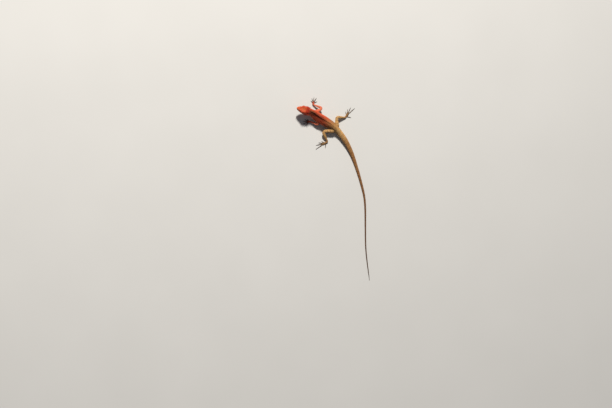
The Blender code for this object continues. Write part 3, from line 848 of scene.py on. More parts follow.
@dataclass(frozen=True)
class Palette:
    """The animal's colours, as display codes."""

    snout: str = "E06A3C"
    flame: str = "CB4E2B"
    temple: str = "A82A17"
    ochre: str = "C08848"
    # nape and brick: the darker back from the nape to mid-back, partly the lizard's own colour and partly
    # painted shade.
    nape: str = "7E3F22"
    brick: str = "7C311B"
    ember: str = "C24E2C"
    rose_tan: str = "A8683E"
    tan: str = "A87A49"
    gold: str = "C69A62"
    tail: str = "9C6E43"
    tail_end: str = "6B482C"
    olive: str = "5C4729"
    buff: str = "BE8F60"
    salmon: str = "DB7656"
    throat: str = "C2573A"
    hand: str = "74402C"
    foot: str = "7C5C36"
    toe: str = "45301F"
    # soot: near-black for the throat patches, the fold mark, the rays round the eyes and the lid beads, and
    # painted shade in the nostrils.
    soot: str = "1B1311"
    # mouth: dark colour painted as shade into the eye sockets and the groove between the lips.
    mouth: str = "2A1210"
    claw: str = "15100D"


def from_top(share: Array) -> Array:
    """How far down shares of the way round are: 0 on top and 1 underneath."""
    turn = np.mod(share, 1.0)
    return 2 * np.minimum(turn, 1 - turn)


def mix(first: Array, second: Array, amount: Array) -> Array:
    """Colours that go from the first to the second by an amount."""
    return first * (1 - amount)[:, None] + second * amount[:, None]


def bands(turns: Array, slope: float, cut: float) -> Array:
    """Bars across a length, one to a turn: 1 in a bar and 0 between bars."""
    return np.clip(np.sin(TAU * turns) * slope - cut, 0, 1)


class Markings:
    """Colours by place, shared by the skin and every scale."""

    def __init__(self, palette: Palette) -> None:
        """Turns the palette into runs of colour along the back, flanks and belly.

        Args:
            palette: the colours.
        """
        self.tones = {name: linear(code) for name, code in vars(palette).items()}
        tail = ((175, "tail"), (300, "tail_end"), (439, "toe"))
        # The back run is darker from the nape to mid-back: partly the lizard's own darker back, partly
        # painted shade.
        self.back = self.run((
            (0, "snout"), (8, "flame"), (16, "flame"), (21, "temple"), (28, "nape"), (34, "nape"),
            (44, "brick"), (60, "brick"), (74, "rose_tan"), (86, "tan"), (102, "gold"), (114, "gold"),
            (140, "tan"), *tail,
        ))
        self.flank = self.run((
            (0, "snout"), (10, "flame"), (16, "flame"), (21, "temple"), (27, "flame"), (34, "ember"),
            (70, "ember"), (80, "rose_tan"), (90, "tan"), (104, "gold"), (112, "gold"), (135, "tan"), *tail,
        ))
        self.belly = self.run((
            (0, "throat"), (20, "throat"), (34, "salmon"), (55, "buff"), (120, "buff"), (200, "tail"),
            (439, "tail_end"),
        ))
        stages = (0.0, 0.35, 1.6, 2.1, 3.0)
        self.foreleg = self.run(tuple(zip(stages, ("ember", "salmon", "salmon", "flame", "hand"))))
        self.hindleg = self.run(tuple(zip(stages, ("gold", "gold", "gold", "tan", "foot"))))

    def run(self, rows: tuple[tuple[float, str], ...]) -> tuple[Array, Array]:
        """Places and colours of one lengthwise run."""
        return np.array([row[0] for row in rows], float), np.array([self.tones[row[1]] for row in rows])

    def body(self, at: Array, share: Array) -> Array:
        """Colours of the head, trunk and tail.

        Args:
            at: distances from the snout.
            share: shares of the way round.

        Returns:
            The colours.
        """
        down = from_top(share)
        belly_share = fade(0.62, 0.84, down)
        tint = mix(between(at, *self.back), between(at, *self.flank), fade(0.02, 0.34, down))
        tint = mix(tint, between(at, *self.belly), belly_share)
        beside_throat = hill(at, 23.5, 6.0) * hill(down, 0.77, 0.13)
        tint = self.mixed(tint, "soot", np.minimum(0.8, 1.1 * beside_throat))
        fold = hill(at, 35.5 + 5 * (down - 0.5), 1.3) * fade(0.3, 0.42, down) * (1 - fade(0.72, 0.85, down))
        tint = self.mixed(tint, "soot", 0.45 * fold)
        between_eyes = hill(at, 13.0, 3.2) * hill(down, 0.0, 0.12)
        tint = self.mixed(tint, "ochre", 0.35 * between_eyes)
        loins = fade(56, 80, at) * (1 - fade(96, 120, at)) * hill(down, 0.42, 0.16)
        tint = self.mixed(tint, "olive", 0.55 * loins)
        bars = bands(at / 10.5, 2.2, 1.0) * fade(92, 112, at) * (1 - fade(230, 330, at))
        return tint * (1 - 0.20 * bars * (1 - belly_share))[:, None]

    def leg(self, form: LegForm, stage: Array, share: Array) -> Array:
        """Colours of a leg.

        Args:
            form: the leg's form.
            stage: stages from the body.
            share: shares of the way round from the leg's top.

        Returns:
            The colours.
        """
        down = from_top(share)
        tint = between(stage, *(self.foreleg if form.fore else self.hindleg))
        bars = bands(stage * 3.4, 2.0, 0.9) * (0.08 if form.fore else 0.30)
        tint = tint * (1 - bars * (1 - fade(0.4, 0.8, down)))[:, None]
        return self.mixed(tint, "buff", 0.55 * fade(0.62, 0.9, down))

    def toe(self, form: LegForm, share_along: Array) -> Array:
        """Colours of a toe from its root to its tip."""
        root, toe = self.tones["hand" if form.fore else "foot"], self.tones["toe"]
        return root + (toe - root) * fade(0.0, 0.7, share_along)[:, None]

    def mixed(self, tint: Array, name: str, amount: Array) -> Array:
        """The tint with an amount of one colour mixed in."""
        return mix(tint, self.tones[name], amount)


@dataclass(frozen=True)
class Finish:
    """A surface finish: how rough, grained, mottled and glossy a tinted piece is."""

    name: str
    roughness: float = 0.5
    grain: float = 3200.0
    grain_depth: float = 0.00003
    mottle: float = 0.16
    coat: float = 0.0
    coat_ior: float = 1.5
    flesh: float = 0.06
    specular: float = 0.5
    roughness_range: float = 0.09

    def material(self) -> bpy.types.Material:
        """Builds the material, which takes its colour from the piece's Tint attribute.

        Returns:
            The material.
        """
        made = bpy.data.materials.new(self.name)
        made.use_nodes = True
        tree = made.node_tree
        place = tree.nodes.new("ShaderNodeTexCoord").outputs["Object"]
        tint = tree.nodes.new("ShaderNodeAttribute")
        tint.attribute_name = "Tint"
        blotch = wire(tree, "TexNoise", Vector=place, Scale=self.grain * 0.28, Detail=3.0).outputs["Fac"]
        shade = wire(
            tree, "MapRange", Value=blotch, From_Min=0.3, From_Max=0.7,
            To_Min=1 - self.mottle, To_Max=1 + self.mottle,
        )
        shaded = wire(tree, "VectorMath", Vector=tint.outputs["Color"])
        shaded.operation = "MULTIPLY"
        tree.links.new(shade.outputs["Result"], shaded.inputs[1])
        rough = wire(
            tree, "MapRange", Value=blotch, To_Min=self.roughness - self.roughness_range,
            To_Max=self.roughness + self.roughness_range,
        )
        grain = wire(tree, "TexNoise", Vector=place, Scale=self.grain, Detail=4.0)
        bump = wire(tree, "Bump", Height=grain.outputs["Fac"], Strength=0.5, Distance=self.grain_depth)
        wire(
            tree, tree.nodes["Principled BSDF"], Base_Color=shaded.outputs["Vector"],
            Roughness=rough.outputs["Result"], Normal=bump.outputs["Normal"],
            Specular_IOR_Level=self.specular, Coat_Weight=self.coat, Coat_IOR=self.coat_ior,
            Coat_Roughness=0.04, Subsurface_Weight=self.flesh, Subsurface_Radius=(1.0, 0.35, 0.2),
            Subsurface_Scale=0.0006,
        )
        return made


SKIN = Finish("Skin", roughness=0.65, grain=5200.0, grain_depth=0.00006, specular=0.2)
SCALE = Finish("Scales", roughness=0.54, grain=4200.0, grain_depth=0.00002, mottle=0.15, specular=0.22)
SPINE = Finish("Spines", roughness=0.52, grain=3600.0, grain_depth=0.00003, mottle=0.2, specular=0.25)
EYE = Finish(
    "Eye", roughness=0.4, grain=5200.0, grain_depth=0.00001, mottle=0.14, coat=0.8, coat_ior=1.33, flesh=0.0,
    specular=0.0,
)
DRUM = Finish("Eardrum", roughness=0.5, grain=2600.0, grain_depth=0.00002, flesh=0.1, specular=0.2)
CLAW = Finish("Claws", roughness=0.3, grain=3000.0, grain_depth=0.00001, coat=0.3, flesh=0.0)


class Maker:
    """Makes finished pieces: meshes in the row frame that ride on the body."""

    def __init__(self, body: Body) -> None:
        """Keeps the body's frame and the materials made so far."""
        self.body = body
        self.materials: dict[str, bpy.types.Material] = {}

    def place(self, piece: Piece, points: Array) -> None:
        """Puts the points of a piece's mesh at points in millimetres."""
        piece.data.vertices.foreach_set("co", self.body.to_row(points).astype(np.float32).ravel())
        piece.data.update()

    def raw(self, name: str, points: Array, faces: tuple[Array, Array]) -> Piece:
        """Makes an undressed mesh.

        Args:
            name: its name.
            points: its points in millimetres.
            faces: its faces, as one run of point numbers and the corners of each face.

        Returns:
            The piece.
        """
        loops, sizes = faces
        mesh = bpy.data.meshes.new(name)
        mesh.vertices.add(len(points))
        mesh.loops.add(len(loops))
        mesh.loops.foreach_set("vertex_index", loops.astype(np.int32))
        mesh.polygons.add(len(sizes))
        starts = np.concatenate([[0], np.cumsum(sizes)[:-1]]).astype(np.int32)
        mesh.polygons.foreach_set("loop_start", starts)
        made = add_object(name, mesh)
        self.place(made, points)
        mesh.update(calc_edges=True)
        mesh.validate()
        return made

    def tint(self, piece: Piece, colours: Array) -> None:
        """Gives a piece its colours.

        Args:
            piece: the piece.
            colours: a linear colour for each of its points.
        """
        layer = piece.data.color_attributes.new("Tint", "FLOAT_COLOR", "POINT")
        rgba = np.ones((len(colours), 4), np.float32)
        rgba[:, :3] = np.clip(colours, 0, 1)
        layer.data.foreach_set("color", rgba.ravel())

    def bake_map(self, piece: Piece, patches: Array) -> None:
        """Gives a piece its OFBake map.

        Args:
            piece: the piece.
            patches: a place on the map for each of its points.
        """
        layer = piece.data.uv_layers.new(name="OFBake")
        corners = np.empty(len(piece.data.loops), np.int32)
        piece.data.loops.foreach_get("vertex_index", corners)
        layer.data.foreach_set("uv", patches[corners].astype(np.float32).ravel())

    def finish(
        self, piece: Piece, finish: Finish, slot: Slot, stands_for: list[str], crease: float | None = None
    ) -> Piece:
        """Dresses a piece, sets it on the root body and hides the solids that it stands for.

        Args:
            piece: the finished mesh.
            finish: its surface.
            slot: the record's slot; not used.
            stands_for: the solids that it replaces.
            crease: the angle in degrees past which edges stay sharp, or None for smooth all over.

        Returns:
            The piece.
        """
        if finish.name not in self.materials:
            self.materials[finish.name] = finish.material()
        piece.data.materials.clear()
        piece.data.materials.append(self.materials[finish.name])
        select(piece)
        if crease is None:
            bpy.ops.object.shade_smooth()
        else:
            bpy.ops.object.shade_smooth_by_angle(angle=math.radians(crease))
        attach(piece, "root")
        if stands_for:
            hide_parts(*stands_for)
        LOG.info("%s: %d faces", piece.name, len(piece.data.polygons))
        return piece

    def copies(
        self, name: str, faces: tuple[Array, Array], points: Array, tints: Array, roots: Array, patch: Array,
        finish: Finish, slot: Slot, crease: float,
    ) -> None:
        """Joins many like closed shapes into pieces of limited size.

        Args:
            name: start of the pieces' names.
            faces: the faces of one shape, as one run of point numbers and the corners of each face.
            points: the points of all shapes, as (shapes, points, 3).
            tints: their colours, in the same form.
            roots: each shape's place on the bake map.
            patch: each point's place on the map, from its shape's own.
            finish: the surface.
            slot: the record's slot.
            crease: the angle past which edges stay sharp.
        """
        loops, sizes = faces
        patches = roots[:, None] + patch[None]
        count = math.ceil(len(points) / max(1, CHUNK_TRIANGLES // int((sizes - 2).sum())))
        chunk = math.ceil(len(points) / count)
        for number in range(count):
            part = slice(number * chunk, (number + 1) * chunk)
            shapes = points[part]
            base = np.arange(len(shapes)) * shapes.shape[1]
            joined = (loops[None, :] + base[:, None]).ravel()
            label = name if count == 1 else f"{name}_{number + 1}"
            piece = self.raw(label, shapes.reshape(-1, 3), (joined, np.tile(sizes, len(shapes))))
            self.tint(piece, tints[part].reshape(-1, 3))
            middle = patches[part].mean(axis=1)
            low, high = middle.min(axis=0), middle.max(axis=0)
            stretched = 0.02 + 0.96 * (middle - low) / np.maximum(high - low, 1e-9)
            moves = np.repeat(stretched - middle, shapes.shape[1], axis=0)
            self.bake_map(piece, patches[part].reshape(-1, 2) + moves)
            self.finish(piece, finish, slot, [], crease)


@dataclass
class Skin:
    """One closed skin over the body and legs, with its mouth, sockets, nostrils and ear hollows."""

    maker: Maker
    body: Body
    legs: list[Leg]
    markings: Markings
    voxel: float = 0.3
    triangles: int = 180_000
    eye_radius: float = 3.1
    lid_radii: Triple = (3.75, 4.5, 3.9)
    opening_radii: Triple = (3.6, 2.35, 1.6)
    opening_out: float = 3.2
    ear_place: Triple = (8.75, 23.6, 4.0)
    ear_faces: Triple = (0.96, 0.22, 0.17)
    ear_radius: float = 1.75
    ear_depth: float = 1.1
    nostril_place: Triple = (3.3, 2.7, 3.6)
    nostril_faces: Triple = (0.78, -0.51, 0.35)
    nostril_radii: Triple = (0.9, 0.46, 0.36)
    join_share: float = 0.26
    join_radius: tuple[float, float] = (7.0, 12.0)
    join_rounds: int = 70
    mouth_half_height: float = 0.17
    mouth_proud: float = 0.7
    mouth_sunk: float = 0.85
    # Painted shade: how much the skin showing between the scales is darkened.
    groove_shade: float = 0.62

    def tube_object(self, name: str, rings: Array) -> Piece:
        """A closed tube through rings of points.

        Args:
            name: its name.
            rings: the points, as (rings, points, 3).

        Returns:
            The piece.
        """
        levels, count = rings.shape[:2]
        here = np.arange(count)
        there = (here + 1) % count
        base = np.arange(levels - 1)[:, None] * count
        quads = np.stack([base + here, base + there, base + count + there, base + count + here], axis=2)
        loops = np.concatenate([quads.ravel(), here[::-1], (levels - 1) * count + here])
        sizes = np.concatenate([np.full((levels - 1) * count, 4), [count, count]])
        made = self.maker.raw(name, rings.reshape(-1, 3), (loops, sizes))
        face_outwards(made)
        return made

    def ball(self, name: str, centre: Array, radii: tuple[float, ...], side: Side) -> Piece:
        """A closed ellipsoid along the head's own directions.

        Args:
            name: its name.
            centre: its centre.
            radii: its radii to the side, along the head and up.
            side: the side of the head.

        Returns:
            The piece.
        """
        mesh = bpy.data.meshes.new(name)
        work = bmesh.new()
        bmesh.ops.create_uvsphere(work, u_segments=48, v_segments=32, radius=1.0)
        work.to_mesh(mesh)
        work.free()
        made = add_object(name, mesh)
        local = points_of(made)
        axes = [self.body.head_direction(axis, side) for axis in ((1, 0, 0), (0, 1, 0), (0, 0, 1))]
        self.maker.place(made, centre + sum(axes[i] * radii[i] * local[:, i : i + 1] for i in range(3)))
        face_outwards(made)
        return made

    def join(self, pieces: list[Piece]) -> Piece:
        """Joins objects into the first of them.

        Args:
            pieces: the objects.

        Returns:
            The first of them.
        """
        select(*pieces)
        bpy.ops.object.join()
        return pieces[0]

    def mouth_wedge(self) -> Piece:
        """A thin wedge round the snout that opens the line between the lips.

        Returns:
            The wedge.
        """
        form = self.body.form
        ends = np.linspace(form.mouth_corner, 0.3, 60)
        line = [self.body.on_outline(at, form.mouth_stop, Side.LEFT) for at in ends]
        line += [self.body.on_outline(at, form.mouth_stop, Side.RIGHT) for at in ends[::-1]]
        points = np.array(line)
        along = unit(np.gradient(points, axis=0))
        up = self.body.head[3]
        out = unit(np.cross(up, along))
        middle = self.body.frame_at(8.0)[0]
        out[np.einsum("ij,ij->i", out, points - middle) < 0] *= -1
        last = len(points) - 1
        size = np.interp(np.arange(len(points)), [0, 12, last - 12, last], [0.3, 1, 1, 0.3])[:, None]
        rings = np.stack([
            points + out * self.mouth_proud, points + up * self.mouth_half_height * size,
            points - out * self.mouth_sunk * size, points - up * self.mouth_half_height * size,
        ], axis=1)
        return self.tube_object("mouth", rings)

    def cutters(self) -> Piece:
        """The shapes cut from the skin: mouth line, sockets, lid openings, nostrils and ear hollows.

        Returns:
            One piece of them all.
        """
        made, body = [self.mouth_wedge()], self.body
        for side in Side:
            eye, nostril = body.in_head(EYE_PLACE, side), body.in_head(self.nostril_place, side)
            opening = eye + body.head_direction((1, 0, 0), side) * self.opening_out
            made.append(self.ball("socket", eye, (self.eye_radius + 0.05,) * 3, side))
            made.append(self.ball("opening", opening, self.opening_radii, side))
            made.append(self.ball("nostril", nostril, self.nostril_radii, side))
            faces = Vector(body.head_direction(self.ear_faces, side))
            bpy.ops.mesh.primitive_cylinder_add(
                vertices=48, radius=self.ear_radius * MM, depth=2 * self.ear_depth * MM,
                location=Vector(body.to_row(body.in_head(self.ear_place, side))),
                rotation=faces.to_track_quat("Z", "Y").to_euler(),
            )
            bpy.ops.object.transform_apply(location=True, rotation=True, scale=True)
            made.append(bpy.context.object)
        return self.join(made)

    def build(self) -> Piece:
        """Builds, joins, carves, colours and dresses the skin.

        Returns:
            The skin.
        """
        parts = [self.tube_object("skin", self.body.tube.rings)]
        for leg in self.legs:
            parts.append(self.tube_object("leg", leg.tube.rings))
            parts += [self.tube_object("toe", toe.tube().rings) for toe in leg.toes]
        for side in Side:
            parts.append(self.ball("lid", self.body.in_head(EYE_PLACE, side), self.lid_radii, side))
        skin = self.join(parts)
        skin.name = "skin"
        modify(skin, "REMESH", mode="VOXEL", voxel_size=self.voxel * MM)
        modify(skin, "SMOOTH", factor=0.5, iterations=3)
        self.soften_joins(skin)
        modify(skin, "DECIMATE", ratio=min(1.0, self.triangles / (2 * len(skin.data.polygons))))
        cutters = self.cutters()
        modify(skin, "BOOLEAN", operation="DIFFERENCE", object=cutters, solver="MANIFOLD")
        bpy.data.objects.remove(cutters)
        self.keep_largest(skin)
        self.colour(skin)
        nodes = ["head", "neck", "torso", *[f"tail_{i}" for i in range(1, 7)]]
        for leg in self.legs:
            nodes += leg.form.nodes
        return self.maker.finish(skin, SKIN, Slot.EMBER, nodes)

    def soften_joins(self, skin: Piece) -> None:
        """Rounds the creases where the legs leave the trunk.

        Args:
            skin: the skin.
        """
        group = skin.vertex_groups.new(name="joins")
        spots = self.body.from_row(points_of(skin))
        weights = np.zeros(len(spots))
        for leg in self.legs:
            root, elbow = (np.array(corner) for corner in leg.form.corners[:2])
            inner = root * (1 - self.join_share) + elbow * self.join_share
            weights = np.maximum(weights, 1 - fade(*self.join_radius, np.linalg.norm(spots - inner, axis=1)))
        for level in range(1, 11):
            share = level / 10
            members = np.nonzero((weights > share - 0.1) & (weights <= share))[0]
            group.add([int(i) for i in members], share, "REPLACE")
        modify(skin, "SMOOTH", factor=0.5, iterations=self.join_rounds, vertex_group=group.name)
        skin.vertex_groups.clear()

    @staticmethod
    def keep_largest(piece: Piece) -> None:
        """Drops all but the largest closed surface.

        Args:
            piece: the piece.
        """
        work = bmesh.new()
        work.from_mesh(piece.data)
        unseen, islands = set(work.verts), []
        while unseen:
            front = [unseen.pop()]
            island = list(front)
            while front:
                for edge in front.pop().link_edges:
                    fresh = [vert for vert in edge.verts if vert in unseen]
                    unseen.difference_update(fresh)
                    island += fresh
                    front += fresh
            islands.append(island)
        islands.sort(key=len)
        bmesh.ops.delete(work, geom=[vert for island in islands[:-1] for vert in island], context="VERTS")
        work.to_mesh(piece.data)
        work.free()

    def colour(self, skin: Piece) -> None:
        """Gives each point of the skin the marking nearest to it, darkened by painted shade between the
        scales.

        Args:
            skin: the skin.
        """
        body, tones = self.body, self.markings.tones
        at, share = body.tube.grid(48)
        spots, tints = [body.tube.point(at, share)], [self.markings.body(at, share)]
        for leg in self.legs:
            at, share = leg.tube.grid(16)
            spots.append(leg.tube.point(at, share))
            tints.append(self.markings.leg(leg.form, leg.stage(at), share))
            for toe in leg.toes:
                along = np.linspace(0, toe.length, 16)
                spots.append(toe.root * np.array([1, 1, 0.5]) + toe.direction * along[:, None])
                tints.append(self.markings.toe(leg.form, along / toe.length))
        tree = search_tree(body.to_row(np.concatenate(spots)))
        nearest = [tree.find(vert.co)[1] for vert in skin.data.vertices]
        # The skin's marking is darkened by groove_shade: painted shade for the gaps between the scales.
        tints, spots = np.concatenate(tints)[nearest] * self.groove_shade, body.from_row(points_of(skin))
        for side in Side:
            # Painted shade: the skin round each eyeball, in the socket, takes the dark mouth colour.
            inside = np.linalg.norm(spots - body.in_head(EYE_PLACE, side), axis=1) < self.eye_radius + 0.2
            tints[inside] = tones["mouth"]
            # Painted shade: the nostril hole is painted near-black.
            nostril = body.in_head(self.nostril_place, side) - body.head_direction((0.5, 0, 0), side) * 0.5
            tints[np.linalg.norm(spots - nostril, axis=1) < 0.9] = tones["soot"]
        # Painted shade: the groove between the lips takes the dark mouth colour.
        for at in np.linspace(0.3, body.form.mouth_corner, 120):
            for side in Side:
                lips = body.on_outline(float(at), body.form.mouth_stop, side)
                inner = lips + (body.frame_at(float(at) + 3.0)[0] - lips) * 0.12
                tints[abs(spots - inner).max(axis=1) < 0.55] = tones["mouth"]
        self.maker.tint(skin, tints)


class Snap:
    """Finds the skin under a place that was worked out on a plain tube."""

    def __init__(self, skin: Piece, body: Body) -> None:
        """Reads the skin's mesh, in millimetres of the working frame.

        Args:
            skin: the whole skin.
            body: the body, for the working frame.
        """
        self.points = body.from_row(points_of(skin))
        self.faces = sorted(self.lowest_first(list(face.vertices)) for face in skin.data.polygons)
        self.tree = BVHTree.FromPolygons([Vector(point) for point in self.points], self.faces)

    @staticmethod
    def lowest_first(corners: list[int]) -> list[int]:
        """A face's point numbers from the lowest, so that the faces come in the same order each time."""
        start = corners.index(min(corners))
        return corners[start:] + corners[:start]

    def under(
        self, places: Array, normals: Array, above: float = 2.0, reach: float = 3.4, rise: float = 0.8
    ) -> tuple[Array, Array, Array]:
        """Drops each place onto the skin along its normal.

        Args:
            places: points near the skin.
            normals: outward directions there.
            above: height from which each point is dropped.
            reach: how far it may fall.
            rise: how far over its place the skin may be, before it counts as covered by another part.

        Returns:
            Which places found open skin, and the skin's points and normals there.
        """
        found = np.zeros(len(places), bool)
        spots, faces = places.copy(), normals.copy()
        for i, (place, normal) in enumerate(zip(places, normals)):
            way = Vector(normal)
            hit, face, _, _ = self.tree.ray_cast(Vector(place) + way * above, -way, reach)
            if hit is None or face.dot(way) < 0.15 or (hit - Vector(place)).dot(way) > rise:
                continue
            found[i] = True
            spots[i], faces[i] = hit, face
        return found, spots, unit(0.45 * normals + 0.55 * faces)

    def nearest(self, places: Array) -> tuple[Array, Array]:
        """The skin's nearest points and their normals."""
        found = [self.tree.find_nearest(Vector(place)) for place in places]
        return np.array([hit[0] for hit in found]), np.array([hit[1] for hit in found])


@dataclass(frozen=True)
class ScaleShape:
    """The outline and relief of one overlapping scale, in shares of its length, width and rise."""

    rows: tuple[float, ...] = (0.0, 0.2, 0.45, 0.7, 0.9, 1.0)
    widths: tuple[float, ...] = (0.55, 0.9, 1.0, 0.76, 0.36, 0.04)
    keel: tuple[float, ...] = (0.1, 0.6, 1.0, 1.0, 0.9, 0.5)
    columns: tuple[float, ...] = (-1.0, -0.5, 0.0, 0.5, 1.0)
    ridge: tuple[float, ...] = (0.0, 0.28, 1.0, 0.28, 0.0)
    root_share: float = 0.3
    sunk: float = 0.06
    dome: float = 0.22
    edge_depth: float = 0.04
    rise_depth: float = 0.2475
    root_depth: float = 0.10
    under_width: float = 0.97
    patch: float = 0.0014

    @property
    def grid(self) -> tuple[Array, Array, Array, Array]:
        """Rows and columns as a grid, with the half width and the keel's height at each of its points."""
        rows, columns = np.array(self.rows)[:, None], np.array(self.columns)[None]
        return rows, columns, np.array(self.widths)[:, None], np.outer(self.keel, self.ridge)

    def faces(self) -> tuple[Array, Array]:
        """The scale's faces, as one run of point numbers and the corners of each face.

        Returns:
            The point numbers and the corner counts.
        """
        levels, count = len(self.rows), len(self.columns)
        last, under, tip = count - 1, levels * count, (levels - 1) * count
        made: list[list[int]] = []
        for k in range(levels - 1):
            here, there = k * count, (k + 1) * count
            left, right = under + 2 * k, under + 2 * k + 1
            made += [[here + j, there + j, there + j + 1, here + j + 1] for j in range(last)]
            made.append([left, right, right + 2, left + 2])
            made.append([here, left, left + 2, there])
            made.append([here + last, there + last, right + 2, right])
        made.append([*range(count), under + 1, under])
        made.append([*range(tip + last, tip - 1, -1), under + 2 * levels - 2, under + 2 * levels - 1])
        return as_runs(made)

    def relief(self, length: Array, width: Array, rise: Array, keel: Array, bend: Array) -> Array:
        """The points of scales in their own directions: along, across and out.

        Args:
            length: the scales' lengths.
            width: their widths.
            rise: how far their tips stand over the skin.
            keel: the heights of their keels.
            bend: their curvatures from side to side.

        Returns:
            The points, as (scales, points, 3).
        """
        rows, columns, span, ridges = self.grid
        length, width, rise, keel, bend = (v[:, None, None] for v in (length, width, rise, keel, bend))
        y = (span * columns)[None] * width / 2
        z = (rows**0.8)[None] * rise - self.sunk + ridges[None] * keel
        z = z + ((1 - columns**2) * span)[None] * rise * self.dome
        turn, radius = np.clip(y * bend, -1.4, 1.4), 1 / bend + z
        y, z = radius * np.sin(turn), z - radius * (1 - np.cos(turn))
        x = np.broadcast_to((rows - self.root_share)[None] * length, y.shape)
        edge = [0, -1]
        depth = self.edge_depth + self.rise_depth * rise + self.root_depth * (1 - rows)[None]
        low = np.stack([x[:, :, edge], y[:, :, edge] * self.under_width, z[:, :, edge] - depth], axis=-1)
        top = np.stack([x, y, z], axis=-1)
        return np.concatenate([part.reshape(len(y), -1, 3) for part in (top, low)], axis=1)

    def shades(self) -> Array:
        """Painted shading of each point: painted shade darkens the root, the edges and the underside, and a
        painted highlight lightens the keel.

        Returns:
            One number for each point.
        """
        rows, columns, _, ridges = self.grid
        painted_light = 0.70 + 0.34 * rows + 0.16 * ridges - 0.20 * columns**2
        return np.concatenate([painted_light.ravel(), np.full(2 * len(rows), 0.5)])

    def patches(self) -> Array:
        """The points' places on the scale's own patch of the bake map.

        Returns:
            The places.
        """
        rows, columns, span, _ = self.grid
        side, edge = span * columns, [0, -1]
        flat = np.stack([side * 0.8, np.broadcast_to(rows * 2 - 1, side.shape) * 0.8], axis=-1)
        rim = np.stack([side[:, edge] - 0.18 * np.array([1, -1]), flat[:, edge, 1] * 1.22], axis=-1)
        return np.concatenate([flat.reshape(-1, 2), rim.reshape(-1, 2)]) * self.patch


FULL_SCALE = ScaleShape()
SMALL_SCALE = ScaleShape(
    rows=(0.0, 0.35, 0.75, 1.0), widths=(0.6, 1.0, 0.66, 0.05), keel=(0.2, 1.0, 1.0, 0.5),
    columns=(-1.0, 0.0, 1.0), ridge=(0.0, 1.0, 0.0),
)


class ScaleCoat:
    """Overlapping scales on one part of the body, gathered and then joined."""

    lie_varies, length_varies, rise_varies, tint_varies = 0.05, 0.05, 0.12, 0.09
    on_floor_below = 0.25

    def __init__(self, maker: Maker, snap: Snap, name: str, slot: Slot, shape: ScaleShape) -> None:
        """Starts an empty coat.

        Args:
            maker: what finishes its pieces.
            snap: finds the skin under each scale.
            name: name of the pieces.
            slot: their material slot.
            shape: the shape of one scale.
        """
        self.maker, self.snap, self.name, self.slot, self.shape = maker, snap, name, slot, shape
        self.gathered: list[tuple[Array, ...]] = []
        self.random = np.random.default_rng(SEED)
        self.clear: list[tuple[Array, float]] = []

    def add(
        self, tube: Tube, at: float, share: Array, turn: Array | float, sizes: tuple[Array | float, ...],
        tints: Array, roots: Array,
    ) -> None:
        """Adds a row of scales, where the skin is open.

        Args:
            tube: the plain tube that the row goes round.
            at: the row's distance along it.
            share: the scales' shares of the way round.
            turn: how far they point round the tube and not just along it.
            sizes: their length, width, rise of the tip over the skin and height of the keel.
            tints: their colours.
            roots: their places on the bake map.
        """
        places, along, around, normals = tube.frame(np.full(len(share), at), share)
        found, spots, faces = self.snap.under(places, normals)
        on_floor = (spots[:, 2] < self.on_floor_below) & (faces[:, 2] < -0.5)
        keep = found & ~on_floor
        lies = along + around * np.reshape(turn, (-1, 1))
        lies = unit(lies - faces * np.einsum("ij,ij->i", lies, faces)[:, None])
        rows = [np.broadcast_to(size, len(share)) for size in (*sizes, TAU / tube.girth_at(at))]
        for centre, radius in self.clear:
            for reach in (-0.2, 0.2, 0.6):
                keep &= np.linalg.norm(spots + lies * rows[0][:, None] * reach - centre, axis=1) > radius
        self.gathered.append(tuple(value[keep] for value in (spots, faces, lies, *rows, tints, roots)))

    def build(self) -> None:
        """Makes the coat's pieces, each scale a little different in lie, length, rise and colour."""
        joined = [np.concatenate(values) for values in zip(*self.gathered)]
        spots, normals, lies, lengths, widths, rises, keels, bends, tints, roots = joined
        across = np.cross(normals, lies)
        wobble = self.random.normal(0, 1, (len(spots), 4))
        lies = unit(lies + across * wobble[:, :1] * self.lie_varies)
        lengths = lengths * (1 + self.length_varies * wobble[:, 1])
        rises = rises * (1 + self.rise_varies * wobble[:, 2])
        tints = tints * (1 + self.tint_varies * wobble[:, 3:4])
        local = self.shape.relief(lengths, widths, rises, keels, bends)
        points = spots[:, None] + local[..., :1] * lies[:, None] + local[..., 1:2] * across[:, None]
        points = points + local[..., 2:] * normals[:, None]
        points[..., 2] = np.maximum(points[..., 2], FLOOR_GAP)
        # Each scale's tint is multiplied by its painted shading: painted shade at root, edges and underside,
        # painted highlight on the keel.
        self.maker.copies(
            self.name, self.shape.faces(), points, tints[:, None] * self.shape.shades()[:, None], roots,
            self.shape.patches(), SCALE, self.slot, 42.0,
        )


def row_shares(girth: float, width: float, number: int, fewest: int) -> Array:
    """Shares of the way round for a row of scales, each row half a scale on from the last.

    Args:
        girth: length round the part.
        width: the width wanted for a scale.
        number: the row's number.
        fewest: the smallest count of scales.

    Returns:
        The shares.
    """
    count = max(fewest, 2 * round(girth / width / 2))
    return (np.arange(count) + 0.5 * (number % 2)) / count


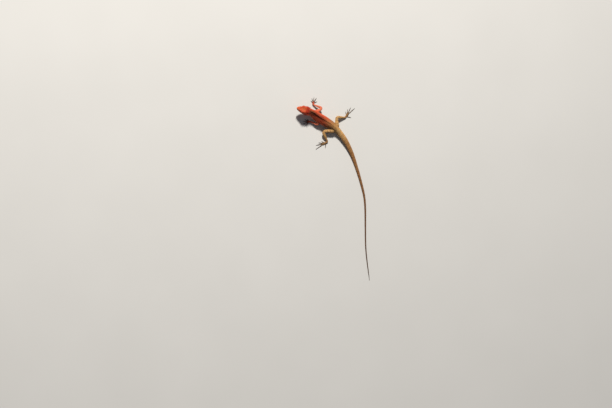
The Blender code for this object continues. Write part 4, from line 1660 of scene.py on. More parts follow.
@dataclass
class TrunkScales:
    """Rows of keeled scales on the neck, trunk and tail, and on the throat."""

    body: Body
    markings: Markings
    starts: float = 25.0
    width: Table = (
        (4, 0.8), (14, 0.95), (24, 1.15), (34, 1.3), (60, 1.5), (100, 1.45), (180, 1.15), (300, 0.72),
        (439, 0.42),
    )
    step: Table = (
        (4, 0.68), (14, 0.8), (24, 0.98), (34, 1.12), (60, 1.3), (100, 1.3), (180, 1.35), (300, 1.15),
        (439, 0.9),
    )
    torso_end: float = 104.0
    throat_from: float = 4.0
    throat_share: float = 0.165
    overlap_along: float = 2.05
    overlap_round: float = 1.18
    rise_share: float = 0.22
    highest_rise: float = 0.40
    keel_share: float = 0.13
    flank: tuple[float, float] = (0.42, 0.26)
    flank_turn: float = 0.62
    back_swell: float = 0.16

    def fill(self, coat: ScaleCoat, start: float, end: float, throat: bool = False) -> None:
        """Adds the rows between two distances, all round or only on the throat.

        Args:
            coat: the coat that takes the scales.
            start: distance of the first row from the snout.
            end: distance of the last row.
            throat: whether only the throat gets scales.
        """
        rows = [start]
        while rows[-1] < end:
            rows.append(rows[-1] + profile(self.step, rows[-1]))
        for number, at in enumerate(rows[:-1]):
            girth = self.body.tube.girth_at(at)
            share = row_shares(girth, profile(self.width, at), number, 6)
            width = girth / len(share) * self.overlap_round
            if throat:
                share = share[abs(share - 0.5) < self.throat_share]
            if not len(share):
                continue
            down, turn = from_top(share), np.mod(share, 1)
            flank = hill(down, *self.flank) * float(1 - fade(96, 150, at)) * float(fade(28, 42, at))
            upwards = np.where(turn < 0.5, -1.0, 1.0) * self.flank_turn * flank
            back = 1 + self.back_swell * float(1 - fade(100, 140, at)) * (1 - fade(0.2, 0.7, down))
            width, length = width * back, profile(self.step, at) * self.overlap_along * back
            rise = np.minimum(self.highest_rise, self.rise_share * length)
            keel = width * (self.keel_share + 0.05 * float(fade(90, 140, at)))
            places = np.full(len(share), at)
            roots = np.stack([turn, places / self.body.form.tail_tip], axis=1)
            tints = self.markings.body(places, share)
            coat.add(self.body.tube, at, share, upwards, (length, width, rise, keel), tints, roots)


@dataclass
class LegScales:
    """Rows of keeled scales on the legs, and smaller ones on the toes."""

    markings: Markings
    width: Table = ((0, 1.15), (1, 0.95), (2, 0.78), (3, 0.72))
    step: Table = ((0, 1.05), (1, 0.95), (2, 0.78), (3, 0.72))
    starts: float = 1.0
    overlap_along: float = 2.0
    overlap_round: float = 1.16
    rise_share: float = 0.17
    keel_share: float = 0.14
    toe_step: float = 0.56
    toe_overlap: float = 1.75
    toe_rise_share: float = 0.12
    toe_keel_share: float = 0.03
    toe_shares: tuple[float, ...] = (0.0, 0.2, 0.36, 0.64, 0.8)
    toe_widths: tuple[float, ...] = (0.33, 0.2, 0.2, 0.2, 0.2)

    def fill_leg(self, coat: ScaleCoat, leg: Leg, block: int) -> None:
        """Adds one leg's scales.

        Args:
            coat: the coat that takes the scales.
            leg: the leg that they grow on.
            block: the leg's own quarter of the bake map.
        """
        at, number = self.starts, 0
        while at < leg.along[-1] - 0.4:
            stage = float(leg.stage(at))
            girth = leg.tube.girth_at(at)
            share = row_shares(girth, profile(self.width, stage), number, 8)
            width = girth / len(share) * self.overlap_round
            length = profile(self.step, stage) * self.overlap_along
            column = np.full(len(share), (block + 0.02 + 0.94 * at / leg.along[-1]) / 4)
            tints = self.markings.leg(leg.form, np.full(len(share), stage), share)
            sizes = (length, width, length * self.rise_share, width * self.keel_share)
            coat.add(leg.tube, at, share, 0.0, sizes, tints, np.column_stack([share % 1, column]))
            at += profile(self.step, stage)
            number += 1

    def fill_toes(self, coat: ScaleCoat, leg: Leg, block: int) -> None:
        """Adds the scales of one foot's toes.

        Args:
            coat: the coat that takes the scales.
            leg: the leg that they grow on.
            block: the leg's own quarter of the bake map.
        """
        share, length = np.array(self.toe_shares), self.toe_step * self.toe_overlap
        for number, toe in enumerate(leg.toes):
            tube = toe.tube()
            count = int(toe.length / self.toe_step)
            for k in range(count):
                at = (k + 0.6) * self.toe_step
                width = tube.girth_at(at) * np.array(self.toe_widths)
                column = np.full(len(share), (block + 0.03 + 0.94 * k / max(1, count)) / 4)
                roots = np.column_stack([(number + (share * 0.9)) / 5, column])
                tints = self.markings.toe(leg.form, np.full(len(share), at) / toe.length)
                sizes = (length, width, length * self.toe_rise_share, width * self.toe_keel_share)
                coat.add(tube, at, share, 0.0, sizes, tints, roots)


class MouthBand:
    """The strip of skin along the mouth, measured round the snout and away from the line between the lips."""

    def __init__(self, body: Body, front: float = 0.35, reach: float = 1.7) -> None:
        """Measures the strip.

        Args:
            body: the body that it lies on.
            front: distance behind the snout's tip at which the two sides are joined across it.
            reach: how far the strip goes above and below the line.
        """
        self.heights = np.linspace(-reach, reach, 35)
        ends = np.linspace(body.form.mouth_corner - 0.1, front, 64)
        rows = [self.column(body, float(at), Side.LEFT) for at in ends]
        rows += [self.column(body, float(at), Side.RIGHT) for at in ends[::-1]]
        self.table = np.array(rows)
        self.line = self.table[:, len(self.heights) // 2]
        self.along = lengths_along(self.line)
        self.length = float(self.along[-1])

    def column(self, body: Body, at: float, side: Side) -> Array:
        """The strip's points across it, from its lower edge to its upper edge.

        Args:
            body: the body that it lies on.
            at: distance from the snout.
            side: the side of the head.

        Returns:
            The points.
        """
        made, line, throat = [], body.form.mouth_stop, float(body.form.stops)
        for stops, wanted in (
            (np.arange(line, throat + 0.001, 0.03), -self.heights[self.heights < 0][::-1]),
            (np.arange(line, 1.999, -0.03), self.heights[self.heights >= 0]),
        ):
            far = lengths_along(body.form.half_outline(at, np.minimum(stops, throat)))
            stop = np.minimum(np.interp(wanted, far, stops), throat)
            made.append(np.array([body.on_outline(at, float(place), side) for place in stop]))
        return np.concatenate([made[0][::-1], made[1]])

    def point(self, along: Array, height: Array) -> Array:
        """Points of the strip.

        Args:
            along: distances round the snout from the left corner of the mouth.
            height: heights from the line between the lips.

        Returns:
            The points.
        """
        row = np.interp(along, self.along, np.arange(len(self.along)))
        column = np.interp(height, self.heights, np.arange(len(self.heights)))
        low = np.clip(row.astype(int), 0, len(self.along) - 2)
        left = np.clip(column.astype(int), 0, len(self.heights) - 2)
        return in_grid(self.table, low, left, left + 1, (row - low)[..., None], (column - left)[..., None])


@dataclass(frozen=True)
class PlateShape:
    """A low rounded plate: rings from its sunk edge to its crown, each a share of its outline and rise."""

    corners: int = 12
    rings: tuple[tuple[float, float], ...] = ((1.0, -0.14), (0.985, 0.06), (0.88, 0.72), (0.5, 0.97))
    patch: float = 0.0012

    def faces(self) -> tuple[Array, Array]:
        """The plate's faces, as one run of point numbers and the corners of each face.

        Returns:
            The point numbers and the corner counts.
        """
        here = np.arange(self.corners)
        there = (here + 1) % self.corners
        made = [list(here[::-1])]
        for level in range(len(self.rings) - 1):
            low, high = level * self.corners, (level + 1) * self.corners
            made += [[low + a, low + b, high + b, high + a] for a, b in zip(here, there)]
        top, centre = (len(self.rings) - 1) * self.corners, len(self.rings) * self.corners
        return as_runs(made + [[top + a, top + b, centre] for a, b in zip(here, there)])

    def shades(self) -> Array:
        """Painted shading of each point: painted shade at the sunk edge, lighter up to the crown."""
        rings = [np.full(self.corners, 0.55 + 0.45 * max(0.0, rise) ** 0.7) for _, rise in self.rings]
        return np.concatenate([*rings, [1.0]])

    def patches(self) -> Array:
        """The points' places on the plate's own patch of the bake map.

        Returns:
            The places.
        """
        angles = circle(self.corners)
        turned = np.stack([np.cos(angles), np.sin(angles)], axis=1)
        rings = [turned * (1.2 if rise < 0 else share) for share, rise in self.rings]
        return np.concatenate([*rings, [[0.0, 0.0]]]) * self.patch


class PlateKind(IntEnum):
    """What grows from a seed: nothing, a plain plate, a bead or a plate of the lips."""

    GAP = -1
    PLAIN = 0
    BEAD = 1
    LIP = 2


@dataclass
class HeadPlates:
    """Close-set plates on the head, each filling its own cell among its neighbours, and those of the lips."""

    maker: Maker
    body: Body
    snap: Snap
    markings: Markings
    skin: Skin
    shape: PlateShape = PlateShape()
    lip_shape: PlateShape = PlateShape(20, ((1.0, -0.4), (0.985, 0.05), (0.88, 0.72), (0.5, 1.0)), 0.004)
    ends: float = 25.4
    upper_lip: float = 1.2
    lower_lip: float = 1.1
    lip_gap: float = 0.13
    lip_rise: float = 0.19
    plates_apart: float = 1.02
    beads_apart: float = 0.44
    nearest_share: float = 0.82
    lips_each_side: int = 10
    front_plate: float = 2.5
    lips_apart: float = 0.03
    lip_squareness: float = 0.45
    lip_end_curve: float = 0.16
    rise_share: float = 0.20
    tint_varies: float = 0.10
    lip_tint_varies: float = 0.07
    wall_gap: float = 0.035
    neighbours: int = 14
    widest_share: float = 0.8
    least_facing: float = 0.05
    farthest_wall: float = 9.0
    nearest_wall: float = 0.08
    lid_rings: tuple[tuple[float, int, float, PlateKind], ...] = (
        (-0.22, 26, 0, PlateKind.GAP), (0.22, 26, 0, PlateKind.BEAD), (0.64, 28, 0.5, PlateKind.BEAD),
    )
    ear_rings: tuple[tuple[float, int, PlateKind], ...] = (
        (1.5, 20, PlateKind.GAP), (2.08, 20, PlateKind.BEAD),
    )
    nostril_rings: tuple[tuple[float, int, PlateKind], ...] = (
        (0.34, 8, PlateKind.GAP), (0.92, 7, PlateKind.PLAIN),
    )

    def __post_init__(self) -> None:
        """Finds the head's own directions, the lid openings and the strip of the lips."""
        point, left, tailwards, up = self.body.head
        self.origin, self.axes = point - tailwards, np.array([left, tailwards, up])
        out = [self.body.head_direction((1, 0, 0), side) for side in Side]
        self.openings = [self.body.in_head(EYE_PLACE, side) + way * 3.3 for side, way in zip(Side, out)]
        self.band = MouthBand(self.body)

    def head_frame(self, spots: Array) -> Array:
        """Points as (side, distance from the snout, height) in the head's frame."""
        return (spots - self.origin) @ self.axes.T

    def spacing(self, spots: Array) -> Array:
        """The distance wanted between plates, which is small round the eyes.

        Args:
            spots: points of the skin.

        Returns:
            The distance at each of them.
        """
        local = self.head_frame(spots)
        wanted = 0.24 * fade(9.5, 11, local[:, 2]) - 0.12 * (1 - fade(2, 7, local[:, 1])) + self.plates_apart
        for opening in self.openings:
            away = np.linalg.norm(spots - opening, axis=1)
            wanted = np.minimum(wanted, self.beads_apart + 0.75 * fade(2.2, 5.6, away))
        return wanted

    def rim(self, side: Side, swell: float, count: int, turn: float) -> Array:
        """Points round the lid opening, on the lid.

        Args:
            side: the side of the head.
            swell: how far outside the opening's edge they are.
            count: how many there are.
            turn: how many steps round the first one is.

        Returns:
            The points.
        """
        angles, lid = circle(count, turn), self.skin.lid_radii
        y = (self.skin.opening_radii[1] + swell) * np.cos(angles)
        z = (self.skin.opening_radii[2] + swell) * np.sin(angles)
        x = lid[0] * np.sqrt(np.maximum(0.05, 1 - (y / lid[1]) ** 2 - (z / lid[2]) ** 2))
        places = np.array(EYE_PLACE) + np.stack([x, y, z], axis=1)
        return np.array([self.body.in_head(tuple(place), side) for place in places])

    def fixed_seeds(self) -> tuple[Array, Array]:
        """Seeds round the eyes, ears, nostrils and lips.

        Returns:
            The seeds and their kinds.
        """
        found: list[tuple[Array, PlateKind]] = []
        for side in Side:
            for swell, count, turn, kind in self.lid_rings:
                found.append((self.rim(side, swell, count, turn), kind))
        for side in Side:
            for place, facing, rows in (
                (self.skin.ear_place, self.skin.ear_faces, self.ear_rings),
                (self.skin.nostril_place, self.skin.nostril_faces, self.nostril_rings),
            ):
                middle, out = self.body.in_head(place, side), self.body.head_direction(facing, side)
                back = unit(self.axes[1] - out * float(self.axes[1] @ out))
                for radius, count, kind in rows:
                    angles = circle(count)[:, None]
                    ways = back * np.cos(angles) + np.cross(out, back) * np.sin(angles)
                    found.append((middle + radius * ways, kind))
        places = np.arange(0.3, self.band.length, 0.6)
        for height in (self.upper_lip - 0.52, 0.52 - self.lower_lip):
            found.append((self.band.point(places, np.full(len(places), height)), PlateKind.GAP))
        kinds = [np.full(len(seeds), int(kind)) for seeds, kind in found]
        return np.concatenate([seeds for seeds, _ in found]), np.concatenate(kinds)

    def free_seeds(self, taken: Array) -> Array:
        """Seeds spread over the rest of the head, spaced as wanted.

        Args:
            taken: the fixed seeds.

        Returns:
            The seeds.
        """
        centres = np.array([self.snap.points[face].mean(axis=0) for face in self.snap.faces])
        across, along, up = self.head_frame(centres).T
        near = (along < self.ends + 1.6) & (along > -1) & (abs(across) < 13) & (up > -7)
        keep = near & ~((up < -3.4) | ((up < -2.6) & (along < 6)))
        keep[keep] = self.open_skin(centres[keep])
        candidates = centres[keep]
        np.random.default_rng(SEED).shuffle(candidates)
        everyone = np.concatenate([candidates, taken])
        tree, alive = search_tree(everyone), np.ones(len(everyone), bool)
        for spot, reach in zip(taken, self.spacing(taken) * 0.78):
            alive[[i for _, i, _ in tree.find_range(spot, reach)]] = False
        chosen = []
        reaches = self.spacing(candidates) * self.nearest_share
        for number, (spot, reach) in enumerate(zip(candidates, reaches)):
            if alive[number]:
                chosen.append(number)
                alive[[i for _, i, _ in tree.find_range(spot, reach)]] = False
        seeds = candidates[chosen]
        for _ in range(3):
            owners = search_tree(np.concatenate([seeds, taken]))
            owner = np.array([owners.find(spot)[1] for spot in candidates])
            for i in range(len(seeds)):
                mine = candidates[owner == i]
                if len(mine) > 2:
                    seeds[i] = mine.mean(axis=0)
        return seeds

    def open_skin(self, spots: Array) -> Array:
        """Tells which points aren't inside a socket, a nostril, an ear hollow or the strip of the lips.

        Args:
            spots: the points.

        Returns:
            True for each such point.
        """
        clear, band = np.ones(len(spots), bool), self.band
        for side in Side:
            for place, radius in (
                (EYE_PLACE, self.skin.eye_radius + 0.3), (self.skin.ear_place, self.skin.ear_radius + 0.3),
                (self.skin.nostril_place, 1.0),
            ):
                clear &= np.linalg.norm(spots - self.body.in_head(place, side), axis=1) > radius
        strip = (band.heights < self.upper_lip) & (band.heights > -self.lower_lip)
        for points, radius in ((band.table[:, strip].reshape(-1, 3), 0.42), (band.line, 1.3)):
            tree = search_tree(points)
            clear[clear] = np.array([tree.find(spot)[2] > radius for spot in spots[clear]])
        return clear

    def cells(self, seeds: Array) -> tuple[Array, Array, Array, Array]:
        """Works out the cell of each seed among the others.

        Args:
            seeds: the seeds.

        Returns:
            Each seed's point of the skin, its normal, its directions ahead and across, and its cell's
            outline as distances at even angles.
        """
        spots, normals = self.snap.nearest(seeds)
        tailwards = self.axes[1]
        ahead = unit(tailwards - normals * (normals @ tailwards)[:, None])
        across = np.cross(normals, ahead)
        tree, angles = search_tree(spots), circle(self.shape.corners)
        reach = np.empty((len(spots), self.shape.corners))
        limit = self.spacing(spots) * self.widest_share
        for i, spot in enumerate(spots):
            offset = spots[[j for _, j, _ in tree.find_n(spot, self.neighbours) if j != i]] - spot
            flat = np.stack([offset @ ahead[i], offset @ across[i]], axis=1)
            far = np.maximum(np.linalg.norm(flat, axis=1), 1e-6)
            facing = np.cos(angles[:, None] - np.arctan2(flat[:, 1], flat[:, 0])[None])
            wall = (far / 2 - self.wall_gap)[None] / np.maximum(facing, self.least_facing)
            walls = np.where(facing > self.least_facing, wall, self.farthest_wall)
            reach[i] = np.minimum(walls.min(axis=1), limit[i])
        return spots, normals, np.stack([ahead, across], axis=1), np.maximum(reach, self.nearest_wall)

    def raised(self, shape: PlateShape, outlines: Array, normals: Array, heights: Array) -> Array:
        """Plates' points over the skin.

        Args:
            shape: the plates' shape.
            outlines: each plate's ring points as (plates, rings, corners, 3), near the skin.
            normals: each plate's own normal.
            heights: each plate's rise.

        Returns:
            The points, as (plates, points, 3).
        """
        ground, facing = self.snap.nearest(outlines.reshape(-1, 3))
        own = np.repeat(normals, outlines.shape[1] * outlines.shape[2], axis=0)
        facing = unit(0.5 * facing + 0.5 * own).reshape(outlines.shape)
        rises = np.array([rise for _, rise in shape.rings])
        lifted = ground.reshape(outlines.shape) + facing * (heights[:, None] * rises)[:, :, None, None]
        top = lifted[:, -1].mean(axis=1) + normals * (heights * 0.05)[:, None]
        points = np.concatenate([lifted.reshape(len(outlines), -1, 3), top[:, None]], axis=1)
        points[..., 2] = np.maximum(points[..., 2], FLOOR_GAP)
        return points

    def build(self) -> None:
        """Makes the plates of the head and of the lips."""
        random = np.random.default_rng(SEED + 1)
        fixed, kinds = self.fixed_seeds()
        free = self.free_seeds(fixed)
        kinds = np.concatenate([kinds, np.full(len(free), int(PlateKind.PLAIN))])
        spots, normals, directions, reach = self.cells(np.concatenate([fixed, free]))
        along = self.head_frame(spots)[:, 1]
        keep = (kinds >= 0) & (along < self.ends + random.normal(0, 0.35, len(spots)))
        found = (spots, normals, directions, reach, kinds)
        spots, normals, directions, reach, kinds = (values[keep] for values in found)
        angles = circle(self.shape.corners)[:, None]
        turned = np.cos(angles) * directions[:, None, 0] + np.sin(angles) * directions[:, None, 1]
        shares = np.array([share for share, _ in self.shape.rings])
        outlines = spots[:, None, None] + (turned * reach[..., None])[:, None] * shares[:, None, None]
        heights = np.clip(self.rise_share * reach.mean(axis=1) + 0.05, 0.06, 0.24)
        points = self.raised(self.shape, outlines, normals, heights)
        tints = self.tints(spots, kinds) * (1 + self.tint_varies * random.normal(0, 1, (len(spots), 1)))
        self.join("head_plates", self.shape, points, tints, self.roots(self.head_frame(spots)))
        self.build_lips(random)

    def build_lips(self, random: np.random.Generator) -> None:
        """Makes the plates of the lips, one wide plate at the snout and a row along each side.

        Args:
            random: the source of random numbers.
        """
        shape, length, spans = self.lip_shape, self.band.length, []
        for lower in (False, True):
            front = self.front_plate * (0.8 if lower else 1.0)
            place = (np.arange(self.lips_each_side) + 0.5) / self.lips_each_side
            sizes = 1 + 0.25 * np.sin(math.pi * place) + 0.08 * np.sin(40 * place + lower)
            ends = np.concatenate([[0], np.cumsum(sizes)]) / sizes.sum() * (length - front) / 2
            edges = [*ends, *(length - ends[::-1])]
            low, high = (-self.lower_lip, -self.lip_gap) if lower else (self.lip_gap, self.upper_lip)
            spans += [(a, b, low, high) for a, b in zip(edges, edges[1:])]
        starts, stops = np.array(spans)[:, [0, 2]], np.array(spans)[:, [1, 3]]
        angles = circle(shape.corners, 0.5)
        square = np.stack([np.cos(angles), np.sin(angles)], axis=1)
        square = np.sign(square) * np.abs(square) ** self.lip_squareness
        square[:, 1] *= 1 - self.lip_end_curve * square[:, 0] ** 2
        middle, half = (starts + stops) / 2, (stops - starts) / 2 - self.lips_apart
        shares = np.array([share for share, _ in shape.rings])
        flat = middle[:, None, None] + half[:, None, None] * square * shares[:, None, None]
        outlines = self.band.point(flat[..., 0], flat[..., 1])
        spots, normals = self.snap.nearest(self.band.point(middle[:, 0], middle[:, 1]))
        points = self.raised(shape, outlines, normals, np.full(len(spots), self.lip_rise))
        tints = self.tints(spots, np.full(len(spots), int(PlateKind.LIP)))
        tints = tints * (1 + self.lip_tint_varies * random.normal(0, 1, (len(spots), 1)))
        self.join("lip_plates", shape, points, tints, middle / np.array([length, 6.0]) + 0.5)

    def join(self, name: str, shape: PlateShape, points: Array, tints: Array, roots: Array) -> None:
        """Joins plates into one dressed piece."""
        # Each plate's tint is multiplied by its painted shading, with painted shade at its sunk edge.
        tints, dress = tints[:, None] * shape.shades()[:, None], (SCALE, Slot.FLAME, 50.0)
        self.maker.copies(name, shape.faces(), points, tints, roots, shape.patches(), *dress)

    def roots(self, local: Array) -> Array:
        """Places of plates on the bake map, unrolled round the head."""
        turn = np.arctan2(local[:, 0], local[:, 2] - 1.0) / TAU + 0.5
        return np.stack([turn, (local[:, 1] + 1) / 30], axis=1)

    def tints(self, spots: Array, kinds: Array) -> Array:
        """Colours of the plates, with dark rays from the eye and paler lips.

        Args:
            spots: the plates' places.
            kinds: their kinds.

        Returns:
            The colours.
        """
        tube = self.body.tube
        tree = search_tree(tube.even[tube.stations < 32].reshape(-1, 3))
        near = np.array([tree.find(spot)[1] for spot in spots])
        tint = self.markings.body(tube.stations[near // tube.around], (near % tube.around) / tube.around)
        across, along, up = (self.head_frame(spots) - np.array([0, *EYE_PLACE[1:]])).T
        turn, away = np.arctan2(up, along), np.hypot(along, up)
        rays = np.clip(np.cos(turn * 7) * 1.8 - 0.6, 0, 1) * fade(1.8, 2.6, away) * (1 - fade(3.6, 6.2, away))
        sideways = fade(4.5, 6.0, abs(across))
        tint = self.markings.mixed(tint, "soot", 0.42 * rays * sideways)
        tint = self.markings.mixed(tint, "ochre", 0.14 * (kinds == PlateKind.LIP))
        return self.markings.mixed(tint, "soot", 0.35 * (kinds == PlateKind.BEAD) * (away < 2.9))


class Template:
    """A closed shape that is modelled once, and whose points are then placed again for each copy."""

    def __init__(self, piece: Piece) -> None:
        """Reads the finished model and removes it.

        Args:
            piece: the model.
        """
        self.points = points_of(piece)
        self.faces = as_runs([list(face.vertices) for face in piece.data.polygons])
        bpy.data.objects.remove(piece)

    @classmethod
    def drawn(cls, sides: int, levels: list[tuple[float, float, float, float]], offset: float) -> Template:
        """Draws a ring out through levels to a point.

        Args:
            sides: corners of the ring.
            levels: (half length, half width, height, reach along) of each ring from the root.
            offset: how much further along than the last ring the point lies.

        Returns:
            The shape.
        """
        select()
        bpy.ops.mesh.primitive_circle_add(vertices=sides, radius=1.0, fill_type="NGON", location=(0, 0, 0))
        piece = bpy.context.object
        bpy.ops.object.mode_set(mode="EDIT")
        bpy.ops.mesh.select_all(action="SELECT")
        length, width, height, reach = levels[0]
        bpy.ops.transform.resize(value=(length, width, 1), center_override=(0, 0, 0))
        bpy.ops.transform.translate(value=(reach, 0, height))
        for now, after in zip(levels, levels[1:]):
            rise = (after[3] - now[3], 0, after[2] - now[2])
            bpy.ops.mesh.extrude_region_move(TRANSFORM_OT_translate={"value": rise})
            share = (after[0] / now[0], after[1] / now[1], 1)
            bpy.ops.transform.resize(value=share, center_override=(after[3], 0, after[2]))
        rise = (offset, 0, (levels[-1][2] - levels[-2][2]) * 0.8)
        bpy.ops.mesh.extrude_region_move(TRANSFORM_OT_translate={"value": rise})
        bpy.ops.mesh.merge(type="CENTER")
        bpy.ops.mesh.select_all(action="SELECT")
        bpy.ops.mesh.normals_make_consistent(inside=False)
        bpy.ops.object.mode_set(mode="OBJECT")
        return cls(piece)

    def placed(self, copies: list[tuple[Array, ...]]) -> Array:
        """The points of every copy.

        Args:
            copies: the origin, the directions along, across and up, and the three scales of each.

        Returns:
            The points, as (copies, points, 3).
        """
        origins, along, across, up, scales = (np.array(values, float) for values in zip(*copies))
        x, y, z = (self.points[None] * scales[:, None])[..., :, None].transpose(2, 0, 1, 3)
        return origins[:, None] + x * along[:, None] + y * across[:, None] + z * up[:, None]


@dataclass
class Spines:
    """The crest of the nape and back, and the spines of the temples."""

    maker: Maker
    body: Body
    markings: Markings
    crest_height: Table = (
        (24.5, 0.8), (27, 2.0), (31, 4.6), (37.5, 5.4), (46, 4.6), (58, 3.3), (73, 2.1), (88, 1.2), (95, 0.9),
    )
    crest_starts: float = 24.8
    crest_ends: float = 97.0
    crest_step: float = 1.42
    crest_sunk: float = 0.35
    blade_top: float = 0.93
    temple: Table = (
        (7.1, 19.6, 8.6), (7.4, 21.0, 8.1), (7.9, 22.5, 7.3), (7.3, 25.2, 7.3), (7.5, 26.4, 6.5),
    )
    temple_shares: tuple[float, ...] = (0.7, 1.15, 0.75, 1.2, 0.7)
    temple_length: float = 2.2
    temple_radius: float = 0.5
    foot_radius: float = 0.62
    temple_leans: Triple = (0.62, 0.55, 0.56)

    def build_crest(self) -> None:
        """Makes the crest from overlapping lance-shaped blades that lean and curve back."""
        random = np.random.default_rng(SEED + 2)
        levels, copies = [], []
        for t in (0.0, 0.14, 0.3, 0.46, 0.62, 0.77, 0.9):
            chord = 0.5 * (1 - 0.15 * t) * math.sqrt(1 - t**2.2)
            thick = 0.5 * (1 - t) ** 0.75
            levels.append((chord, thick, self.blade_top * t, 0.22 * t + 0.60 * t * t))
        blade = Template.drawn(10, levels, 0.09)
        rows = np.arange(self.crest_starts, self.crest_ends, self.crest_step)
        for at in rows:
            point, left, tailwards, up = self.body.frame_at(float(at))
            crown = point + up * self.body.form.landmarks(float(at))[0, 1]
            height = profile(self.crest_height, float(at)) * (1 + 0.04 * random.normal())
            lean = 0.03 * random.normal()
            scales = (min(2.1, 1.1 + height * 0.18), 0.58 + 0.05 * height, height + self.crest_sunk)
            leaning = unit(left + tailwards * lean), unit(up + left * lean * 1.5)
            copies.append((crown - up * self.crest_sunk, tailwards, *leaning, scales))
        share = np.clip(blade.points[:, 2] / self.blade_top, 0, 1)
        tints = self.markings.body(rows, np.zeros(len(rows)))
        colours = tints[:, None] * (0.72 + 0.5 * share)[:, None]
        roots = np.stack([np.full(len(rows), 0.5), (rows - rows[0]) / (rows[-1] - rows[0])], axis=1)
        patch = np.stack([blade.points[:, 0], blade.points[:, 2] - 0.5], axis=1) * 0.006
        points = blade.placed(copies)
        self.maker.copies("crest", blade.faces, points, colours, roots, patch, SPINE, Slot.EMBER, 55.0)

    def build_temples(self) -> None:
        """Makes the spines over the ears, each with smaller ones at its foot."""
        levels = [(1 - t, 1 - t, t, 0.16 * t * t) for t in (0.0, 0.16, 0.36, 0.58, 0.8)]
        thorn, copies = Template.drawn(8, levels, 0.05), []
        for side in Side:
            up = self.body.head_direction(self.temple_leans, side)
            tailwards = self.body.head_direction((0, 1, 0), side)
            back = unit(tailwards - up * float(tailwards @ up))
            for number, (place, size) in enumerate(zip(self.temple, self.temple_shares)):
                main, longest = self.body.in_head(place, side), self.temple_length * size
                reach, radius = longest + 0.45, self.temple_radius
                origin = main - up * self.temple_length * 0.3
                copies.append((origin, back, np.cross(up, back), up, (radius, radius, reach)))
                reach, radius = longest * 0.42 + 0.35, self.temple_radius * self.foot_radius
                for turn in (0.9 + number, 3.6 + 1.7 * number):
                    way = back * math.cos(turn) + np.cross(up, back) * math.sin(turn)
                    origin = main + way * 0.7 - up * self.temple_length * 0.2
                    along, out = unit(back + way * 0.2), unit(up + way * 0.35)
                    copies.append((origin, along, np.cross(out, along), out, (radius, radius, reach)))
        share = np.clip(thorn.points[:, 2], 0, 1)
        tint = (self.markings.tones["temple"] + self.markings.tones["flame"]) / 2
        colours = np.broadcast_to(tint * (0.7 + 0.6 * share)[:, None], (len(copies), len(share), 3))
        roots = np.repeat(np.arange(len(copies)) / len(copies), 2).reshape(-1, 2)
        flat = np.stack([thorn.points[:, 0] + 0.3 * thorn.points[:, 1], thorn.points[:, 2] - 0.5], axis=1)
        points = thorn.placed(copies)
        self.maker.copies(
            "temple_spines", thorn.faces, points, colours, roots, flat * 0.008, SPINE, Slot.FLAME, 55.0
        )


@dataclass
class Claws:
    """A curved claw at the end of each toe."""

    maker: Maker
    legs: list[Leg]
    markings: Markings
    radius: float = 0.30
    curve: float = 0.95
    over_tip: float = 0.42

    def build(self) -> None:
        """Makes the claws."""
        form, tones = self.legs[0].toe_form, self.markings.tones
        levels = []
        for t in (-0.22, 0.0, 0.18, 0.36, 0.54, 0.72, 0.88):
            size = self.radius * (1 - max(0.0, t)) ** 0.7
            levels.append((size, size * 0.72, t * form.claw_length, -self.curve * max(0.0, t) ** 2))
        claw, copies, up = Template.drawn(10, levels, -0.14), [], (0, 0, 1)
        for leg in self.legs:
            for toe in leg.toes:
                origin = [*(toe.root + toe.direction * toe.length)[:2], form.tip_radius + self.over_tip]
                copies.append((origin, up, np.cross(up, toe.direction), toe.direction, (1, 1, 1)))
        points = claw.placed(copies)
        points[..., 2] = np.maximum(points[..., 2], 0.05)
        colours = mix(tones["toe"], tones["claw"], np.clip(claw.points[:, 2] / form.claw_length, 0, 1))
        colours = np.broadcast_to(colours, (len(copies), *colours.shape))
        roots = np.repeat(np.arange(len(copies)) / len(copies), 2).reshape(-1, 2)
        patch = np.stack([claw.points[:, 0], claw.points[:, 2] - 1], axis=1) * 0.006
        self.maker.copies("claws", claw.faces, points, colours, roots, patch, CLAW, Slot.TAN, 60.0)


@dataclass
class Eyes:
    """The eyeballs: round dark pupil, gold ring, brown rayed iris and dark edge under a clear cornea."""

    maker: Maker
    body: Body
    radius: float = 2.9876
    pupil: float = 13.0
    ring: float = 15.0
    iris: float = 36.0
    edge: float = 43.0

    def colours(self, angle: Array, turn: Array) -> Array:
        """Colours of the eyeball.

        Args:
            angle: angles from the pupil's middle, in degrees.
            turn: turns round it.

        Returns:
            The colours.
        """
        stops = (
            (0, "060403"), (self.pupil - 0.5, "060403"), (self.pupil + 0.5, "C98F35"), (self.ring, "C98F35"),
            (self.ring + 4, "7E4A1E"), (self.iris, "7E4A1E"), (self.edge, "1E100A"), (60, "2B1D16"),
            (180, "2B1D16"),
        )
        made = between(angle, [place for place, _ in stops], [linear(code) for _, code in stops])
        rays = 0.5 + 0.5 * np.cos(turn * 23 + 2.1 * np.cos(turn * 5))
        depth = fade(self.ring, self.ring + 5, angle) * (1 - fade(self.iris, self.edge, angle))
        return made * (1 - 0.45 * rays * depth)[:, None]

    def build(self) -> None:
        """Makes both eyes."""
        for side in Side:
            out = Vector(self.body.head_direction((1.0, -0.04, 0.03), side))
            select()
            bpy.ops.mesh.primitive_uv_sphere_add(segments=72, ring_count=60, radius=1.0, location=(0, 0, 0))
            eye = bpy.context.object
            eye.name = f"eyeball_{side.word}"
            local = points_of(eye)
            angle = np.degrees(np.arccos(np.clip(local[:, 2], -1, 1)))
            turn = np.arctan2(local[:, 1], local[:, 0])
            bulge = 1 + 0.035 * (1 - fade(12, 40, angle)) - 0.02 * (1 - fade(3, 18, angle))
            axes = np.array(out.to_track_quat("Z", "Y").to_matrix())
            spots = (local * bulge[:, None] * self.radius) @ axes.T
            self.maker.place(eye, self.body.in_head(EYE_PLACE, side) + spots)
            self.maker.tint(eye, self.colours(angle, turn))
            self.maker.finish(eye, EYE, Slot.EYE, [f"eye_{side.word}"])


